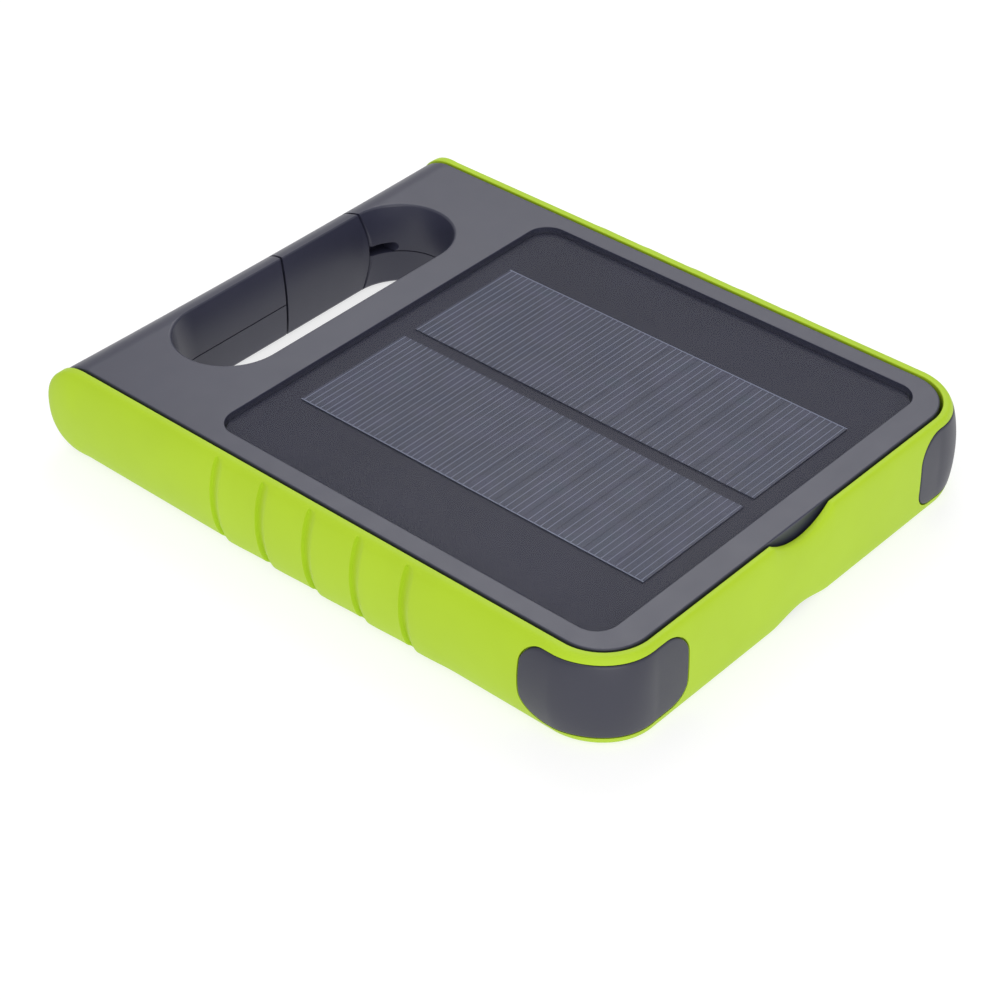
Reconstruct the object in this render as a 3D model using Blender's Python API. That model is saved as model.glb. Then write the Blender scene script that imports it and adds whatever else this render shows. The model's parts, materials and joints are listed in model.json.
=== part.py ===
"""Solar phone charger: a flat core with a panel and a handle, inside a swinging frame.

Units are metres and +Z is up. The panel faces +Z, the handle is at +Y and the finger
notches are at -Y. The origin is on the casing's underside, on its centre line.
The frame swings on two pivots near the handle, and the handle has a sprung snap gate.
"""

import math

import bmesh
import bpy
from mathutils import Matrix, Vector

MM = 0.001
GAP = 0.3 * MM

# ---------------------------------------------------------------- driving dimensions
HEIGHT = 24.6 * MM
MID_Z = HEIGHT / 2

# Core: the casing that holds the panel, the battery and the electronics.
CORE_HALF = 65.0 * MM
CORE_FRONT = -86.4 * MM
CORE_CORNER = 12.2 * MM
CORE_EDGE = 0.4 * MM
PIVOT_Y = 80.9 * MM
BACK_BOW = 0.65 * MM
BACK_CHAMFER = 1.0 * MM
WALL = 2.4 * MM
FLOOR = 2.2 * MM
SPLIT_Z = 10.8 * MM
SPLIT_GAP = 0.15 * MM

# Hand opening in the handle.
OPENING_HALF = 45.0 * MM
OPENING_RADIUS = 15.0 * MM
OPENING_Y = 66.8 * MM
OPENING_BULGE = 1.2 * MM
OPENING_FLARE_HIGH = 0.5 * MM
OPENING_FLARE_LOW = 1.0 * MM

# Solar panel and the pocket that holds it.
PANEL_HALF = 59.8 * MM
PANEL_FRONT = -79.2 * MM
PANEL_BACK = 41.4 * MM
PANEL_CORNER = 6.0 * MM
PANEL_SINK = 0.4 * MM
POCKET_FLOOR = 21.7 * MM
BOARD_THICK = 1.0 * MM
CELL_THICK = 0.25 * MM
CELL_HALF = 37.9 * MM
CELL_MIDDLE_GAP = 2.0 * MM
CELL_FRONT = -73.1 * MM
CELL_BACK = 34.0 * MM

# Electronics bay.
BAY_BACK = 48.2 * MM
BAY_TOP = 19.8 * MM
BOSS_RADIUS = 4.0 * MM

# Frame: a U-shaped bar, flat inside and bulged outside, whose arms end in round cheeks.
# The bulge is the bar's thickness at mid height, the taper is what it loses towards its
# edges, and the fullness says how square those edges are.
FRAME_HALF = 65.8 * MM
FRAME_FRONT = -87.2 * MM
FRAME_CORNER = 13.0 * MM
SIDE = (5.4 * MM, 2.8 * MM, 6.5)
CORNER = (3.9 * MM, 1.6 * MM, 6.5)
FRONT = (2.8 * MM, 0.6 * MM, 6.0)
CHEEK_TAPER = 1.0 * MM
CHEEK_FULLNESS = 8.5
LOWER_TAPER_SHARE = 0.88
CHEEK_Y = PIVOT_Y - 0.6 * MM
CHEEK_PLAN_POWER = 2.4
LIP = 0.35 * MM

# Grip grooves on the arms: a sharp step down on the handle side, then a ramp to a low crest.
GROOVE_FIRST = 31.9 * MM
GROOVE_PITCH = 15.43 * MM
GROOVE_COUNT = 5
GROOVE_DEPTH = 0.9 * MM
GROOVE_CREST = 0.3 * MM
GROOVE_STEP = 0.5 * MM
GROOVE_RAMP = 4.6 * MM

# Finger notches in the front bar, above and below.
NOTCH_HALF = 11.0 * MM
NOTCH_TOP = 3.7 * MM
NOTCH_BOTTOM = 2.7 * MM

# Corner pads let into the frame.
PAD_BACK = -65.4 * MM
PAD_FRONT_LEFT = 42.4 * MM
PAD_FRONT_RIGHT = 45.4 * MM
PAD_LOW = 2.5 * MM
PAD_HIGH = 22.7 * MM
PAD_ROUND = 5.5 * MM
PAD_ROUND_WIDE = 7.5 * MM
PAD_THICK = 0.8 * MM

# Frame pivots.
SHOULDER_RADIUS = 2.5 * MM
THREAD_RADIUS = 1.5 * MM
BUSH_RADIUS = 3.6 * MM
PIVOT_BOSS_RADIUS = 6.5 * MM
PIVOT_BOSS_X = 57.3 * MM
WASHER_RADIUS = 5.6 * MM
WASHER_SEAT_X = 64.3 * MM

# Snap gate in the outer bar of the handle.
GATE_PIN_X = 37.7 * MM
GATE_PIN_Y = 84.2 * MM
GATE_RADIUS = 7.95 * MM
GATE_END_BULGE = 1.5 * MM
GATE_TIP_INNER = 2.0 * MM
GATE_TIP_OUTER = 3.9 * MM
GATE_CLEARANCE = 0.5 * MM
TONGUE_HALF_THICK = 1.05 * MM
TONGUE_HALF_WIDE = 1.8 * MM
KNUCKLE_RADIUS = 3.0 * MM
PIN_RADIUS = 1.0 * MM
SPRING_POCKET_RADIUS = 4.4 * MM
SPRING_POCKET_LOW = 6.2 * MM
SLOT_HALF_HIGH = 1.4 * MM
SLOT_END_X = 39.9 * MM

# Ports, button and indicator in the front wall of the core.
BOARD_Z = 2.8 * MM
BOARD_TOP = BOARD_Z + 1.6 * MM
PARTS_Z = BOARD_TOP + GAP
USB_A_X = 14.0 * MM
MICRO_USB_X = 32.0 * MM
LENS_X = -6.0 * MM
BUTTON_X = -24.0 * MM
BUTTON_Z = 7.4 * MM

SCREW_PLACES = [
    (side * 56.0 * MM, y) for side in (-1, 1) for y in (-74.5 * MM, -8.0 * MM)
] + [(side * 54.0 * MM, 60.0 * MM) for side in (-1, 1)]
BOARD_SCREW_PLACES = [(side * 41.0 * MM, y * MM) for side in (-1, 1) for y in (-78.0, -50.0)]

ROUND_STEPS = 20
SMALL_STEPS = 12


# ---------------------------------------------------------------- scene and helpers
def clear_scene():
    for obj in list(bpy.data.objects):
        bpy.data.objects.remove(obj, do_unlink=True)


def new_collection(name, hidden=False):
    collection = bpy.data.collections.new(name)
    collection.hide_render = hidden
    bpy.context.scene.collection.children.link(collection)
    return collection


clear_scene()
PARTS = new_collection("solar_phone_charger")
CUTTERS = new_collection("cutters", hidden=True)


def material(name, colour, roughness, metallic=0.0):
    made = bpy.data.materials.new(name)
    made.use_nodes = True
    shader = made.node_tree.nodes["Principled BSDF"]
    shader.inputs["Base Color"].default_value = (*colour, 1.0)
    shader.inputs["Roughness"].default_value = roughness
    shader.inputs["Metallic"].default_value = metallic
    return made


GREY = material("grey_casing", (0.145, 0.145, 0.17), 0.5)
GREEN = material("green_frame", (0.44, 0.68, 0.045), 0.55)
PAD_GREY = material("pad_rubber", (0.085, 0.085, 0.11), 0.7)
PANEL_BLACK = material("panel_board", (0.05, 0.05, 0.06), 0.6)
CELL_BLUE = material("solar_cell", (0.07, 0.08, 0.14), 0.35)
CLEAR = material("clear_cover", (0.6, 0.62, 0.65), 0.2)
BOARD_GREEN = material("circuit_board", (0.02, 0.16, 0.06), 0.5)
CHIP_BLACK = material("chip_black", (0.02, 0.02, 0.02), 0.5)
STEEL = material("steel", (0.55, 0.55, 0.56), 0.3, 1.0)
FOIL = material("battery_foil", (0.5, 0.5, 0.52), 0.4, 0.6)
FOAM = material("foam", (0.04, 0.04, 0.04), 0.9)
NYLON = material("nylon", (0.75, 0.74, 0.7), 0.5)
SEAL = material("seal_rubber", (0.03, 0.03, 0.03), 0.8)
LED_WHITE = material("led_white", (0.85, 0.85, 0.8), 0.4)
RED_WIRE = material("red_wire", (0.5, 0.02, 0.02), 0.5)
BLACK_WIRE = material("black_wire", (0.02, 0.02, 0.02), 0.5)
BRONZE = material("phosphor_bronze", (0.5, 0.27, 0.1), 0.35, 1.0)


def mesh_object(name, bm, collection, look=None):
    bmesh.ops.recalc_face_normals(bm, faces=bm.faces)
    mesh = bpy.data.meshes.new(name)
    bm.to_mesh(mesh)
    bm.free()
    obj = bpy.data.objects.new(name, mesh)
    collection.objects.link(obj)
    if look:
        mesh.materials.append(look)
    return obj


def part(name, bm, look):
    obj = mesh_object(name, bm, PARTS, look)
    obj.data.shade_smooth()
    obj.data.set_sharp_from_angle(angle=math.radians(35))
    return obj


def cutter(name, bm):
    obj = mesh_object(name, bm, CUTTERS)
    obj.hide_render = True
    obj.display_type = "WIRE"
    return obj


def boolean(obj, tool, operation="DIFFERENCE"):
    modifier = obj.modifiers.new(tool.name, "BOOLEAN")
    modifier.operation = operation
    modifier.solver = "EXACT"
    modifier.object = tool


def set_origin(obj, point):
    """Moves the object's origin to the point and leaves its mesh where it is."""
    offset = Vector(point)
    obj.data.transform(Matrix.Translation(-offset))
    obj.location = offset


def arc(centre_x, centre_y, radius, start, end, steps):
    """Points on an arc between two angles in degrees, both ends included."""
    turns = [math.radians(start + (end - start) * i / steps) for i in range(steps + 1)]
    return [
        (centre_x + radius * math.cos(a), centre_y + radius * math.sin(a)) for a in turns
    ]


def rounded_rectangle(x0, x1, y0, y1, radius, steps=5):
    return (
        arc(x0 + radius, y0 + radius, radius, 180, 270, steps)
        + arc(x1 - radius, y0 + radius, radius, 270, 360, steps)
        + arc(x1 - radius, y1 - radius, radius, 0, 90, steps)
        + arc(x0 + radius, y1 - radius, radius, 90, 180, steps)
    )


def stadium(inset, steps=12):
    """Plan of the hand opening, with its wall moved in by the inset."""
    middle = OPENING_HALF - OPENING_RADIUS
    radius = OPENING_RADIUS - inset
    return arc(middle, OPENING_Y, radius, -90, 90, steps) + arc(
        -middle, OPENING_Y, radius, 90, 270, steps
    )


def loft(bm, rings, capped=True):
    """Joins closed rings of equally many points, and closes both ends."""
    made = [[bm.verts.new(point) for point in ring] for ring in rings]
    for lower, upper in zip(made, made[1:]):
        for i in range(len(lower)):
            j = (i + 1) % len(lower)
            bm.faces.new((lower[i], lower[j], upper[j], upper[i]))
    if capped:
        bm.faces.new(made[0][::-1])
        bm.faces.new(made[-1])


def add_prism(bm, outline, low, high):
    loft(bm, [[(x, y, z) for x, y in outline] for z in (low, high)])


def add_box(bm, low, high):
    outline = [(low[0], low[1]), (high[0], low[1]), (high[0], high[1]), (low[0], high[1])]
    add_prism(bm, outline, low[2], high[2])


def add_turned(bm, profile, centre, axis="Z", steps=ROUND_STEPS):
    """Turns a list of (distance along the axis, radius) about an axis through the centre."""
    turn = {
        "X": Matrix.Rotation(math.radians(90), 4, "Y"),
        "Y": Matrix.Rotation(math.radians(-90), 4, "X"),
        "Z": Matrix.Identity(4),
    }[axis]
    place = Matrix.Translation(centre) @ turn
    rings = []
    for along, radius in profile:
        circle = arc(0, 0, radius, 0, 360 - 360 / steps, steps - 1)
        rings.append([place @ Vector((x, y, along)) for x, y in circle])
    loft(bm, rings)


def add_cylinder(bm, centre, radius, length, axis="Z", steps=ROUND_STEPS):
    add_turned(bm, [(0, radius), (length, radius)], centre, axis, steps)


def simple_part(name, look, build):
    bm = bmesh.new()
    build(bm)
    return part(name, bm, look)


def simple_cutter(name, build):
    bm = bmesh.new()
    build(bm)
    return cutter(name, bm)


# ---------------------------------------------------------------- core casing
def core_levels():
    """Heights that follow the round back of the handle, closer near its top and bottom."""
    turns = [0, 6, 12, 19, 28, 40, 56, 73]
    half = [MID_Z * (1 - math.cos(math.radians(turn))) for turn in turns]
    return half + [MID_Z] + [HEIGHT - z for z in reversed(half)]


def edge_pull(z):
    """How far the soft top and bottom edges pull the outline in at this height."""
    depth = min(z, HEIGHT - z)
    if depth >= CORE_EDGE:
        return 0.0
    return CORE_EDGE - math.sqrt(CORE_EDGE**2 - (CORE_EDGE - depth) ** 2)


def back_line(z, inset=0.0):
    """Y of the handle's back at this height, inset by a wall: round about the pivots' axis."""
    return PIVOT_Y + math.sqrt(max((MID_Z - inset) ** 2 - (z - MID_Z) ** 2, 0.0))


def core_outline(z):
    pull = edge_pull(z)
    half = CORE_HALF - pull
    front = CORE_FRONT + pull
    radius = CORE_CORNER - pull
    back = back_line(z)
    bow = [(1 - 2 * i / 8) for i in range(1, 8)]
    return (
        arc(-half + radius, front + radius, radius, 180, 270, 7)
        + arc(half - radius, front + radius, radius, 270, 360, 7)
        + [(half, back - BACK_CHAMFER), (half - BACK_CHAMFER, back)]
        + [(half * t, back - BACK_BOW * (1 - t * t)) for t in bow]
        + [(-half + BACK_CHAMFER, back), (-half, back - BACK_CHAMFER)]
    )


def core_blank(bm):
    loft(bm, [[(x, y, z) for x, y in core_outline(z)] for z in core_levels()])


def opening_shape(bm):
    """The hand opening: widest at the faces, drawn in by its bulged wall at mid height."""
    heights = (0.0, OPENING_FLARE_LOW, 3 * MM, 7 * MM, MID_Z, 17.6 * MM, 21.6 * MM)
    profile = [(z, OPENING_BULGE * (1 - (z / MID_Z - 1) ** 2)) for z in heights]
    profile.append((HEIGHT - OPENING_FLARE_HIGH, 0.0))
    profile.append((HEIGHT, -OPENING_FLARE_HIGH))
    profile[0] = (0.0, -OPENING_FLARE_LOW)
    profile.insert(0, (-MM, -OPENING_FLARE_LOW))
    profile.append((HEIGHT + MM, -OPENING_FLARE_HIGH))
    loft(bm, [[(x, y, z) for x, y in stadium(inset)] for z, inset in profile])


def gate_plan(clearance, z):
    """Plan of the snap gate at this height, grown by the clearance.

    Its hinge end is round about the pin, and fuller at mid height than at the faces.
    """
    low, high = 70 * MM, 100 * MM
    off_middle = min(abs(z / MID_Z - 1), 1.0)
    radius = GATE_RADIUS - GATE_END_BULGE * (1 - off_middle**2) - clearance
    slope = (GATE_TIP_OUTER - GATE_TIP_INNER) / (91 * MM - 80 * MM)
    tip_low = GATE_TIP_INNER + slope * (low - 80 * MM) - clearance
    tip_high = GATE_TIP_INNER + slope * (high - 80 * MM) - clearance
    hinge = arc(GATE_PIN_X, GATE_PIN_Y, radius, 250, 180, 7)
    return [(tip_low, low), (hinge[0][0], low)] + hinge + [(hinge[-1][0], high), (tip_high, high)]


def gate_block(bm, clearance):
    heights = [-MM, *(HEIGHT * i / 8 for i in range(9)), HEIGHT + MM]
    loft(bm, [[(x, y, z) for x, y in gate_plan(clearance, z)] for z in heights])


def bay_outline():
    edge = CORE_HALF - WALL
    return rounded_rectangle(-edge, edge, CORE_FRONT + WALL, BAY_BACK, CORE_CORNER - WALL)


def make_core_cutters():
    tools = {}
    below = (-0.1, -0.12, -0.05)
    tools["keep_top"] = simple_cutter(
        "keep_top", lambda bm: add_box(bm, below, (0.1, 0.12, SPLIT_Z + SPLIT_GAP))
    )
    tools["keep_bottom"] = simple_cutter(
        "keep_bottom",
        lambda bm: add_box(bm, (-0.1, -0.12, SPLIT_Z - SPLIT_GAP), (0.1, 0.12, 0.05)),
    )
    tools["opening"] = simple_cutter("opening", opening_shape)
    tools["gate_space"] = simple_cutter("gate_space", lambda bm: gate_block(bm, GATE_CLEARANCE))
    tools["bay"] = make_bay()
    tools["handle_void"] = make_handle_void()
    tools["gasket_rebate"] = simple_cutter("gasket_rebate", gasket_rebate)
    tools["pivot_bores"] = simple_cutter("pivot_bores", pivot_bores)
    tools["gate_hinge_space"] = simple_cutter("gate_hinge_space", gate_hinge_space)
    tools["gate_pin_bore"] = simple_cutter(
        "gate_pin_bore",
        lambda bm: add_cylinder(
            bm, (GATE_PIN_X, GATE_PIN_Y, 2.7 * MM), PIN_RADIUS + GAP, 19.2 * MM,
            steps=SMALL_STEPS,
        ),
    )
    return tools


def screw_posts(bm):
    for x, y in SCREW_PLACES:
        add_cylinder(bm, (x, y, -MM), BOSS_RADIUS, HEIGHT + 2 * MM, steps=16)


def make_bay():
    """The hollow for the electronics, with the screw posts left standing in it."""
    bay = simple_cutter("bay", lambda bm: add_prism(bm, bay_outline(), FLOOR, BAY_TOP))
    boolean(bay, simple_cutter("bay_posts", screw_posts))
    return bay


def make_handle_void():
    """The hollow inside the handle, all round the opening up to the gate's solid ends."""
    edge = CORE_HALF - WALL
    low, high = WALL, HEIGHT - WALL
    levels = [low + (high - low) * (1 - math.cos(math.pi * i / 8)) / 2 for i in range(9)]

    def blank(bm):
        rings = []
        for z in levels:
            back = back_line(z, WALL) - BACK_BOW
            front = 51.0 * MM
            rings.append([(-edge, front, z), (edge, front, z), (edge, back, z), (-edge, back, z)])
        loft(bm, rings)

    def opening_wall(bm):
        add_prism(bm, stadium(-WALL), -MM, HEIGHT + MM)

    def pivot_posts(bm):
        for side in (-1, 1):
            start = min(side * PIVOT_BOSS_X, side * 70 * MM)
            add_cylinder(
                bm, (start, PIVOT_Y, MID_Z), PIVOT_BOSS_RADIUS, 70 * MM - PIVOT_BOSS_X, "X"
            )

    void = simple_cutter("handle_void", blank)
    boolean(void, simple_cutter("opening_wall", opening_wall))
    solid_ends = ((-2 * MM, 70 * MM, -MM), (47 * MM, 100 * MM, HEIGHT + MM))
    boolean(void, simple_cutter("gate_solid_ends", lambda bm: add_box(bm, *solid_ends)))
    boolean(void, simple_cutter("pivot_posts", pivot_posts))
    boolean(void, simple_cutter("handle_posts", screw_posts))
    return void


def gasket_outline(outset):
    """Plan of the gasket's edge: the bay's outline, moved out by the outset."""
    edge = CORE_HALF - WALL + outset
    front = CORE_FRONT + WALL - outset
    return rounded_rectangle(
        -edge, edge, front, BAY_BACK + outset, CORE_CORNER - WALL + outset
    )


def add_ring_prism(bm, outer, inner, low, high):
    """A flat ring between two outlines of equally many points."""
    rings = [
        [(x, y, z) for x, y in outline]
        for outline, z in ((inner, low), (outer, low), (outer, high), (inner, high), (inner, low))
    ]
    loft(bm, rings, capped=False)
    bmesh.ops.remove_doubles(bm, verts=bm.verts, dist=1e-7)


def gasket_rebate(bm):
    add_ring_prism(
        bm,
        gasket_outline(1.4 * MM),
        gasket_outline(-0.6 * MM),
        SPLIT_Z - 0.6 * MM,
        SPLIT_Z + 0.6 * MM,
    )


def pivot_bores(bm):
    """The bush's bore and, at its outer end, the washer's shallow seat."""
    profile = [
        (50 * MM, BUSH_RADIUS + GAP),
        (WASHER_SEAT_X, BUSH_RADIUS + GAP),
        (WASHER_SEAT_X, WASHER_RADIUS + GAP),
        (70 * MM, WASHER_RADIUS + GAP),
    ]
    for side in (-1, 1):
        turned = [(side * along, radius) for along, radius in profile]
        add_turned(bm, turned, (0, PIVOT_Y, MID_Z), "X")


def gate_hinge_space(bm):
    """The slot that the gate's tongue swings in, and the spring's pocket below it."""
    reach = KNUCKLE_RADIUS + 0.5 * MM
    outline = (
        [(25 * MM, 74 * MM), (SLOT_END_X, 74 * MM)]
        + arc(GATE_PIN_X, GATE_PIN_Y, reach, -51, 90, 7)
        + [(25 * MM, GATE_PIN_Y + reach)]
    )
    add_prism(bm, outline, MID_Z - SLOT_HALF_HIGH, MID_Z + SLOT_HALF_HIGH)


def panel_pocket(bm):
    """The panel's pocket, its top edge eased outwards."""
    ease = 0.6 * MM
    rings = []
    for z, grow in (
        (POCKET_FLOOR, 0.0),
        (HEIGHT - ease, 0.0),
        (HEIGHT, ease),
        (HEIGHT + MM, ease),
    ):
        outline = rounded_rectangle(
            -PANEL_HALF - grow,
            PANEL_HALF + grow,
            PANEL_FRONT - grow,
            PANEL_BACK + grow,
            PANEL_CORNER + grow,
        )
        rings.append([(x, y, z) for x, y in outline])
    loft(bm, rings)


def panel_lead_hole(bm):
    add_cylinder(bm, (0, 30 * MM, BAY_TOP - MM), 3.2 * MM, 3 * MM, steps=SMALL_STEPS)


def screw_holes_low(bm):
    """Head recess and clearance hole, up through the bottom shell."""
    for x, y in SCREW_PLACES:
        profile = [(-MM, 3.0 * MM), (2.9 * MM, 3.0 * MM), (2.9 * MM, 1.5 * MM), (14 * MM, 1.5 * MM)]
        add_turned(bm, profile, (x, y, 0), steps=SMALL_STEPS)


def screw_holes_high(bm):
    for x, y in SCREW_PLACES:
        add_cylinder(bm, (x, y, SPLIT_Z - MM), 1.5 * MM, 8.7 * MM, steps=SMALL_STEPS)


def spring_pocket(bm):
    add_cylinder(
        bm,
        (GATE_PIN_X, GATE_PIN_Y, SPRING_POCKET_LOW),
        SPRING_POCKET_RADIUS,
        SPLIT_Z - SPRING_POCKET_LOW,
        steps=16,
    )


def front_windows(bm):
    """Openings in the front wall for the two ports, the button and the indicator."""
    low, high = CORE_FRONT - MM, CORE_FRONT + WALL + 0.5 * MM
    add_box(bm, (USB_A_X - 7.0 * MM, low, 4.5 * MM), (USB_A_X + 7.0 * MM, high, 10.8 * MM))
    add_box(bm, (MICRO_USB_X - 4.4 * MM, low, 4.5 * MM), (MICRO_USB_X + 4.4 * MM, high, 7.9 * MM))
    add_box(bm, (LENS_X - 6.3 * MM, low, 5.1 * MM), (LENS_X + 6.3 * MM, high, 7.7 * MM))
    add_box(
        bm,
        (BUTTON_X - 6.3 * MM, low, BUTTON_Z - 2.4 * MM),
        (BUTTON_X + 6.3 * MM, high, BUTTON_Z + 2.4 * MM),
    )


def board_posts(bm):
    for x, y in BOARD_SCREW_PLACES:
        add_cylinder(bm, (x, y, 1.9 * MM), 2.6 * MM, 0.7 * MM, steps=SMALL_STEPS)


def board_screw_holes(bm):
    for x, y in BOARD_SCREW_PLACES:
        add_cylinder(bm, (x, y, 1.0 * MM), 1.1 * MM, 6 * MM, steps=SMALL_STEPS)


def make_shells(tools):
    shared = (
        "opening", "gate_space", "bay", "handle_void", "gasket_rebate", "pivot_bores",
        "gate_hinge_space", "gate_pin_bore",
    )
    top = simple_part("top_shell", GREY, core_blank)
    boolean(top, tools["keep_top"])
    for name in shared:
        boolean(top, tools[name])
    boolean(top, simple_cutter("panel_pocket", panel_pocket))
    boolean(top, simple_cutter("panel_lead_hole", panel_lead_hole))
    boolean(top, simple_cutter("screw_holes_high", screw_holes_high))

    bottom = simple_part("bottom_shell", GREY, core_blank)
    boolean(bottom, tools["keep_bottom"])
    for name in shared:
        boolean(bottom, tools[name])
    boolean(bottom, simple_cutter("screw_holes_low", screw_holes_low))
    boolean(bottom, simple_cutter("spring_pocket", spring_pocket))
    boolean(bottom, simple_cutter("front_windows", front_windows))
    boolean(bottom, simple_cutter("board_posts", board_posts), "UNION")
    boolean(bottom, simple_cutter("board_screw_holes", board_screw_holes))


def make_gasket():
    outer, inner = gasket_outline(1.1 * MM), gasket_outline(0.0)
    simple_part(
        "shell_gasket",
        SEAL,
        lambda bm: add_ring_prism(bm, outer, inner, SPLIT_Z - GAP, SPLIT_Z + GAP),
    )


def make_case_screws():
    profile = [
        (1.0 * MM, 2.6 * MM),
        (2.6 * MM, 2.6 * MM),
        (2.6 * MM, 1.2 * MM),
        (17.6 * MM, 1.2 * MM),
    ]
    for number, (x, y) in enumerate(SCREW_PLACES, start=1):
        screw = simple_part(
            f"case_screw_{number}",
            STEEL,
            lambda bm, x=x, y=y: add_turned(bm, profile, (x, y, 0), steps=SMALL_STEPS),
        )
        slot = simple_cutter(
            f"case_screw_slot_{number}",
            lambda bm, x=x, y=y: add_box(
                bm,
                (x - 1.7 * MM, y - 0.4 * MM, 0.5 * MM),
                (x + 1.7 * MM, y + 0.4 * MM, 1.7 * MM),
            ),
        )
        boolean(screw, slot)


# ---------------------------------------------------------------- snap gate
def make_gate(tools):
    gate = simple_part("gate", GREY, core_blank)
    boolean(gate, tools["opening"])
    boolean(gate, simple_cutter("gate_block", lambda bm: gate_block(bm, 0.0)), "INTERSECT")
    low = MID_Z - TONGUE_HALF_THICK

    def tongue(bm):
        reach = TONGUE_HALF_WIDE
        outline = (
            [(29.0 * MM, GATE_PIN_Y - reach), (GATE_PIN_X, GATE_PIN_Y - reach)]
            + arc(GATE_PIN_X, GATE_PIN_Y, KNUCKLE_RADIUS, -50, 50, 8)
            + [(GATE_PIN_X, GATE_PIN_Y + reach), (29.0 * MM, GATE_PIN_Y + reach)]
        )
        add_prism(bm, outline, low, low + 2 * TONGUE_HALF_THICK)

    def bore(bm):
        add_cylinder(
            bm, (GATE_PIN_X, GATE_PIN_Y, low - MM), PIN_RADIUS + GAP, 5 * MM, steps=SMALL_STEPS
        )

    boolean(gate, simple_cutter("gate_tongue", tongue), "UNION")
    boolean(gate, simple_cutter("gate_bore", bore))
    set_origin(gate, (GATE_PIN_X, GATE_PIN_Y, MID_Z))


def tube(name, points, radius, look, resolution=2):
    """A round wire through the points, closed at both ends."""
    curve = bpy.data.curves.new(name, "CURVE")
    curve.dimensions = "3D"
    curve.bevel_depth = radius
    curve.bevel_resolution = resolution
    curve.use_fill_caps = True
    spline = curve.splines.new("POLY")
    spline.points.add(len(points) - 1)
    for place, point in zip(spline.points, points):
        place.co = (*point, 1.0)
    obj = bpy.data.objects.new(name, curve)
    curve.materials.append(look)
    PARTS.objects.link(obj)


def make_gate_hardware():
    simple_part(
        "gate_pin",
        STEEL,
        lambda bm: add_cylinder(
            bm, (GATE_PIN_X, GATE_PIN_Y, 3.0 * MM), PIN_RADIUS, 18.6 * MM, steps=SMALL_STEPS
        ),
    )
    turns, per_turn, coil = 3.5, 10, 2.3 * MM
    low, high = 6.9 * MM, 9.9 * MM
    count = int(turns * per_turn)
    points = []
    for i in range(count + 1):
        angle = 2 * math.pi * i / per_turn
        z = low + (high - low) * i / count
        points.append(
            (GATE_PIN_X + coil * math.cos(angle), GATE_PIN_Y + coil * math.sin(angle), z)
        )
    first, last = Vector(points[0]), Vector(points[-1])
    leg = Vector((0, -2.6 * MM, 0))
    tube("gate_spring", [first + leg, *points, last + leg], 0.28 * MM, STEEL, 1)


# ---------------------------------------------------------------- frame
def smooth_step(value):
    value = min(max(value, 0.0), 1.0)
    return value * value * (3 - 2 * value)


def groove_offset(y):
    """How far the grip pattern moves an arm's outer surface outwards at this Y."""
    ahead = GROOVE_FIRST - y
    number = math.floor(ahead / GROOVE_PITCH)
    if number < 0 or number >= GROOVE_COUNT:
        return 0.0
    before = GROOVE_CREST if number > 0 else 0.0
    after = GROOVE_CREST if number < GROOVE_COUNT - 1 else 0.0
    along = ahead - number * GROOVE_PITCH
    fall = min(along / GROOVE_STEP, 1.0)
    rise = smooth_step((along - GROOVE_STEP) / GROOVE_RAMP)
    return before - (before + GROOVE_DEPTH) * fall + (after + GROOVE_DEPTH) * rise


def corner_spot(share):
    """(x, y, outward x, outward y, profile) at a share of the left corner's turn."""
    angle = math.radians(180 + 90 * share)
    outward = (math.cos(angle), math.sin(angle))
    x = -FRAME_HALF + FRAME_CORNER + FRAME_CORNER * outward[0]
    y = FRAME_FRONT + FRAME_CORNER + FRAME_CORNER * outward[1]
    middle = math.sin(math.pi * share)
    profile = []
    for side, corner, front in zip(SIDE, CORNER, FRONT):
        value = side + (front - side) * smooth_step(share)
        profile.append(value + (corner - value) * middle)
    return (x, y, *outward, tuple(profile))


def arm_spot(y):
    return (-FRAME_HALF, y, -1.0, 0.0, SIDE)


def frame_stations():
    """Spots along the U, from the left cheek round the front to the right cheek."""
    marks = [CHEEK_Y, 56 * MM, FRAME_FRONT + FRAME_CORNER + 0.5 * MM]
    ramp_shares = (0.0, 0.25, 0.5, 0.75, 1.0)
    for number in range(GROOVE_COUNT):
        line = GROOVE_FIRST - number * GROOVE_PITCH
        marks.append(line)
        marks += [line - GROOVE_STEP - GROOVE_RAMP * share for share in ramp_shares]
    arm = [arm_spot(y) for y in sorted(marks, reverse=True)]
    steps = 10
    left = arm + [corner_spot(i / steps) for i in range(steps + 1)]
    right = [(-x, y, -nx, ny, profile) for x, y, nx, ny, profile in reversed(left)]
    return left + right


def bar_depth(share, bulge, taper, fullness):
    """The bar's thickness at a share of the way from its mid height to its edge."""
    share = min(share, 1.0)
    return (bulge - taper * share**2) * (1 - share**fullness) ** (1 / fullness)


def frame_depth(spot, share, turn):
    """Thickness at a spot; the turn is 90 over it, -90 below it and 0 at a cheek's end."""
    y, (bulge, taper, fullness) = spot[1], spot[4]
    end = abs(math.cos(turn))
    taper += (CHEEK_TAPER - SIDE[1]) * end
    fullness += (CHEEK_FULLNESS - SIDE[2]) * end
    if turn < 0:
        taper *= 1 + (LOWER_TAPER_SHARE - 1) * abs(math.sin(turn))
    depth = bar_depth(share, bulge, taper, fullness)
    depth += groove_offset(y) * smooth_step((0.98 - share) / 0.15)
    return max(depth, LIP)


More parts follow.
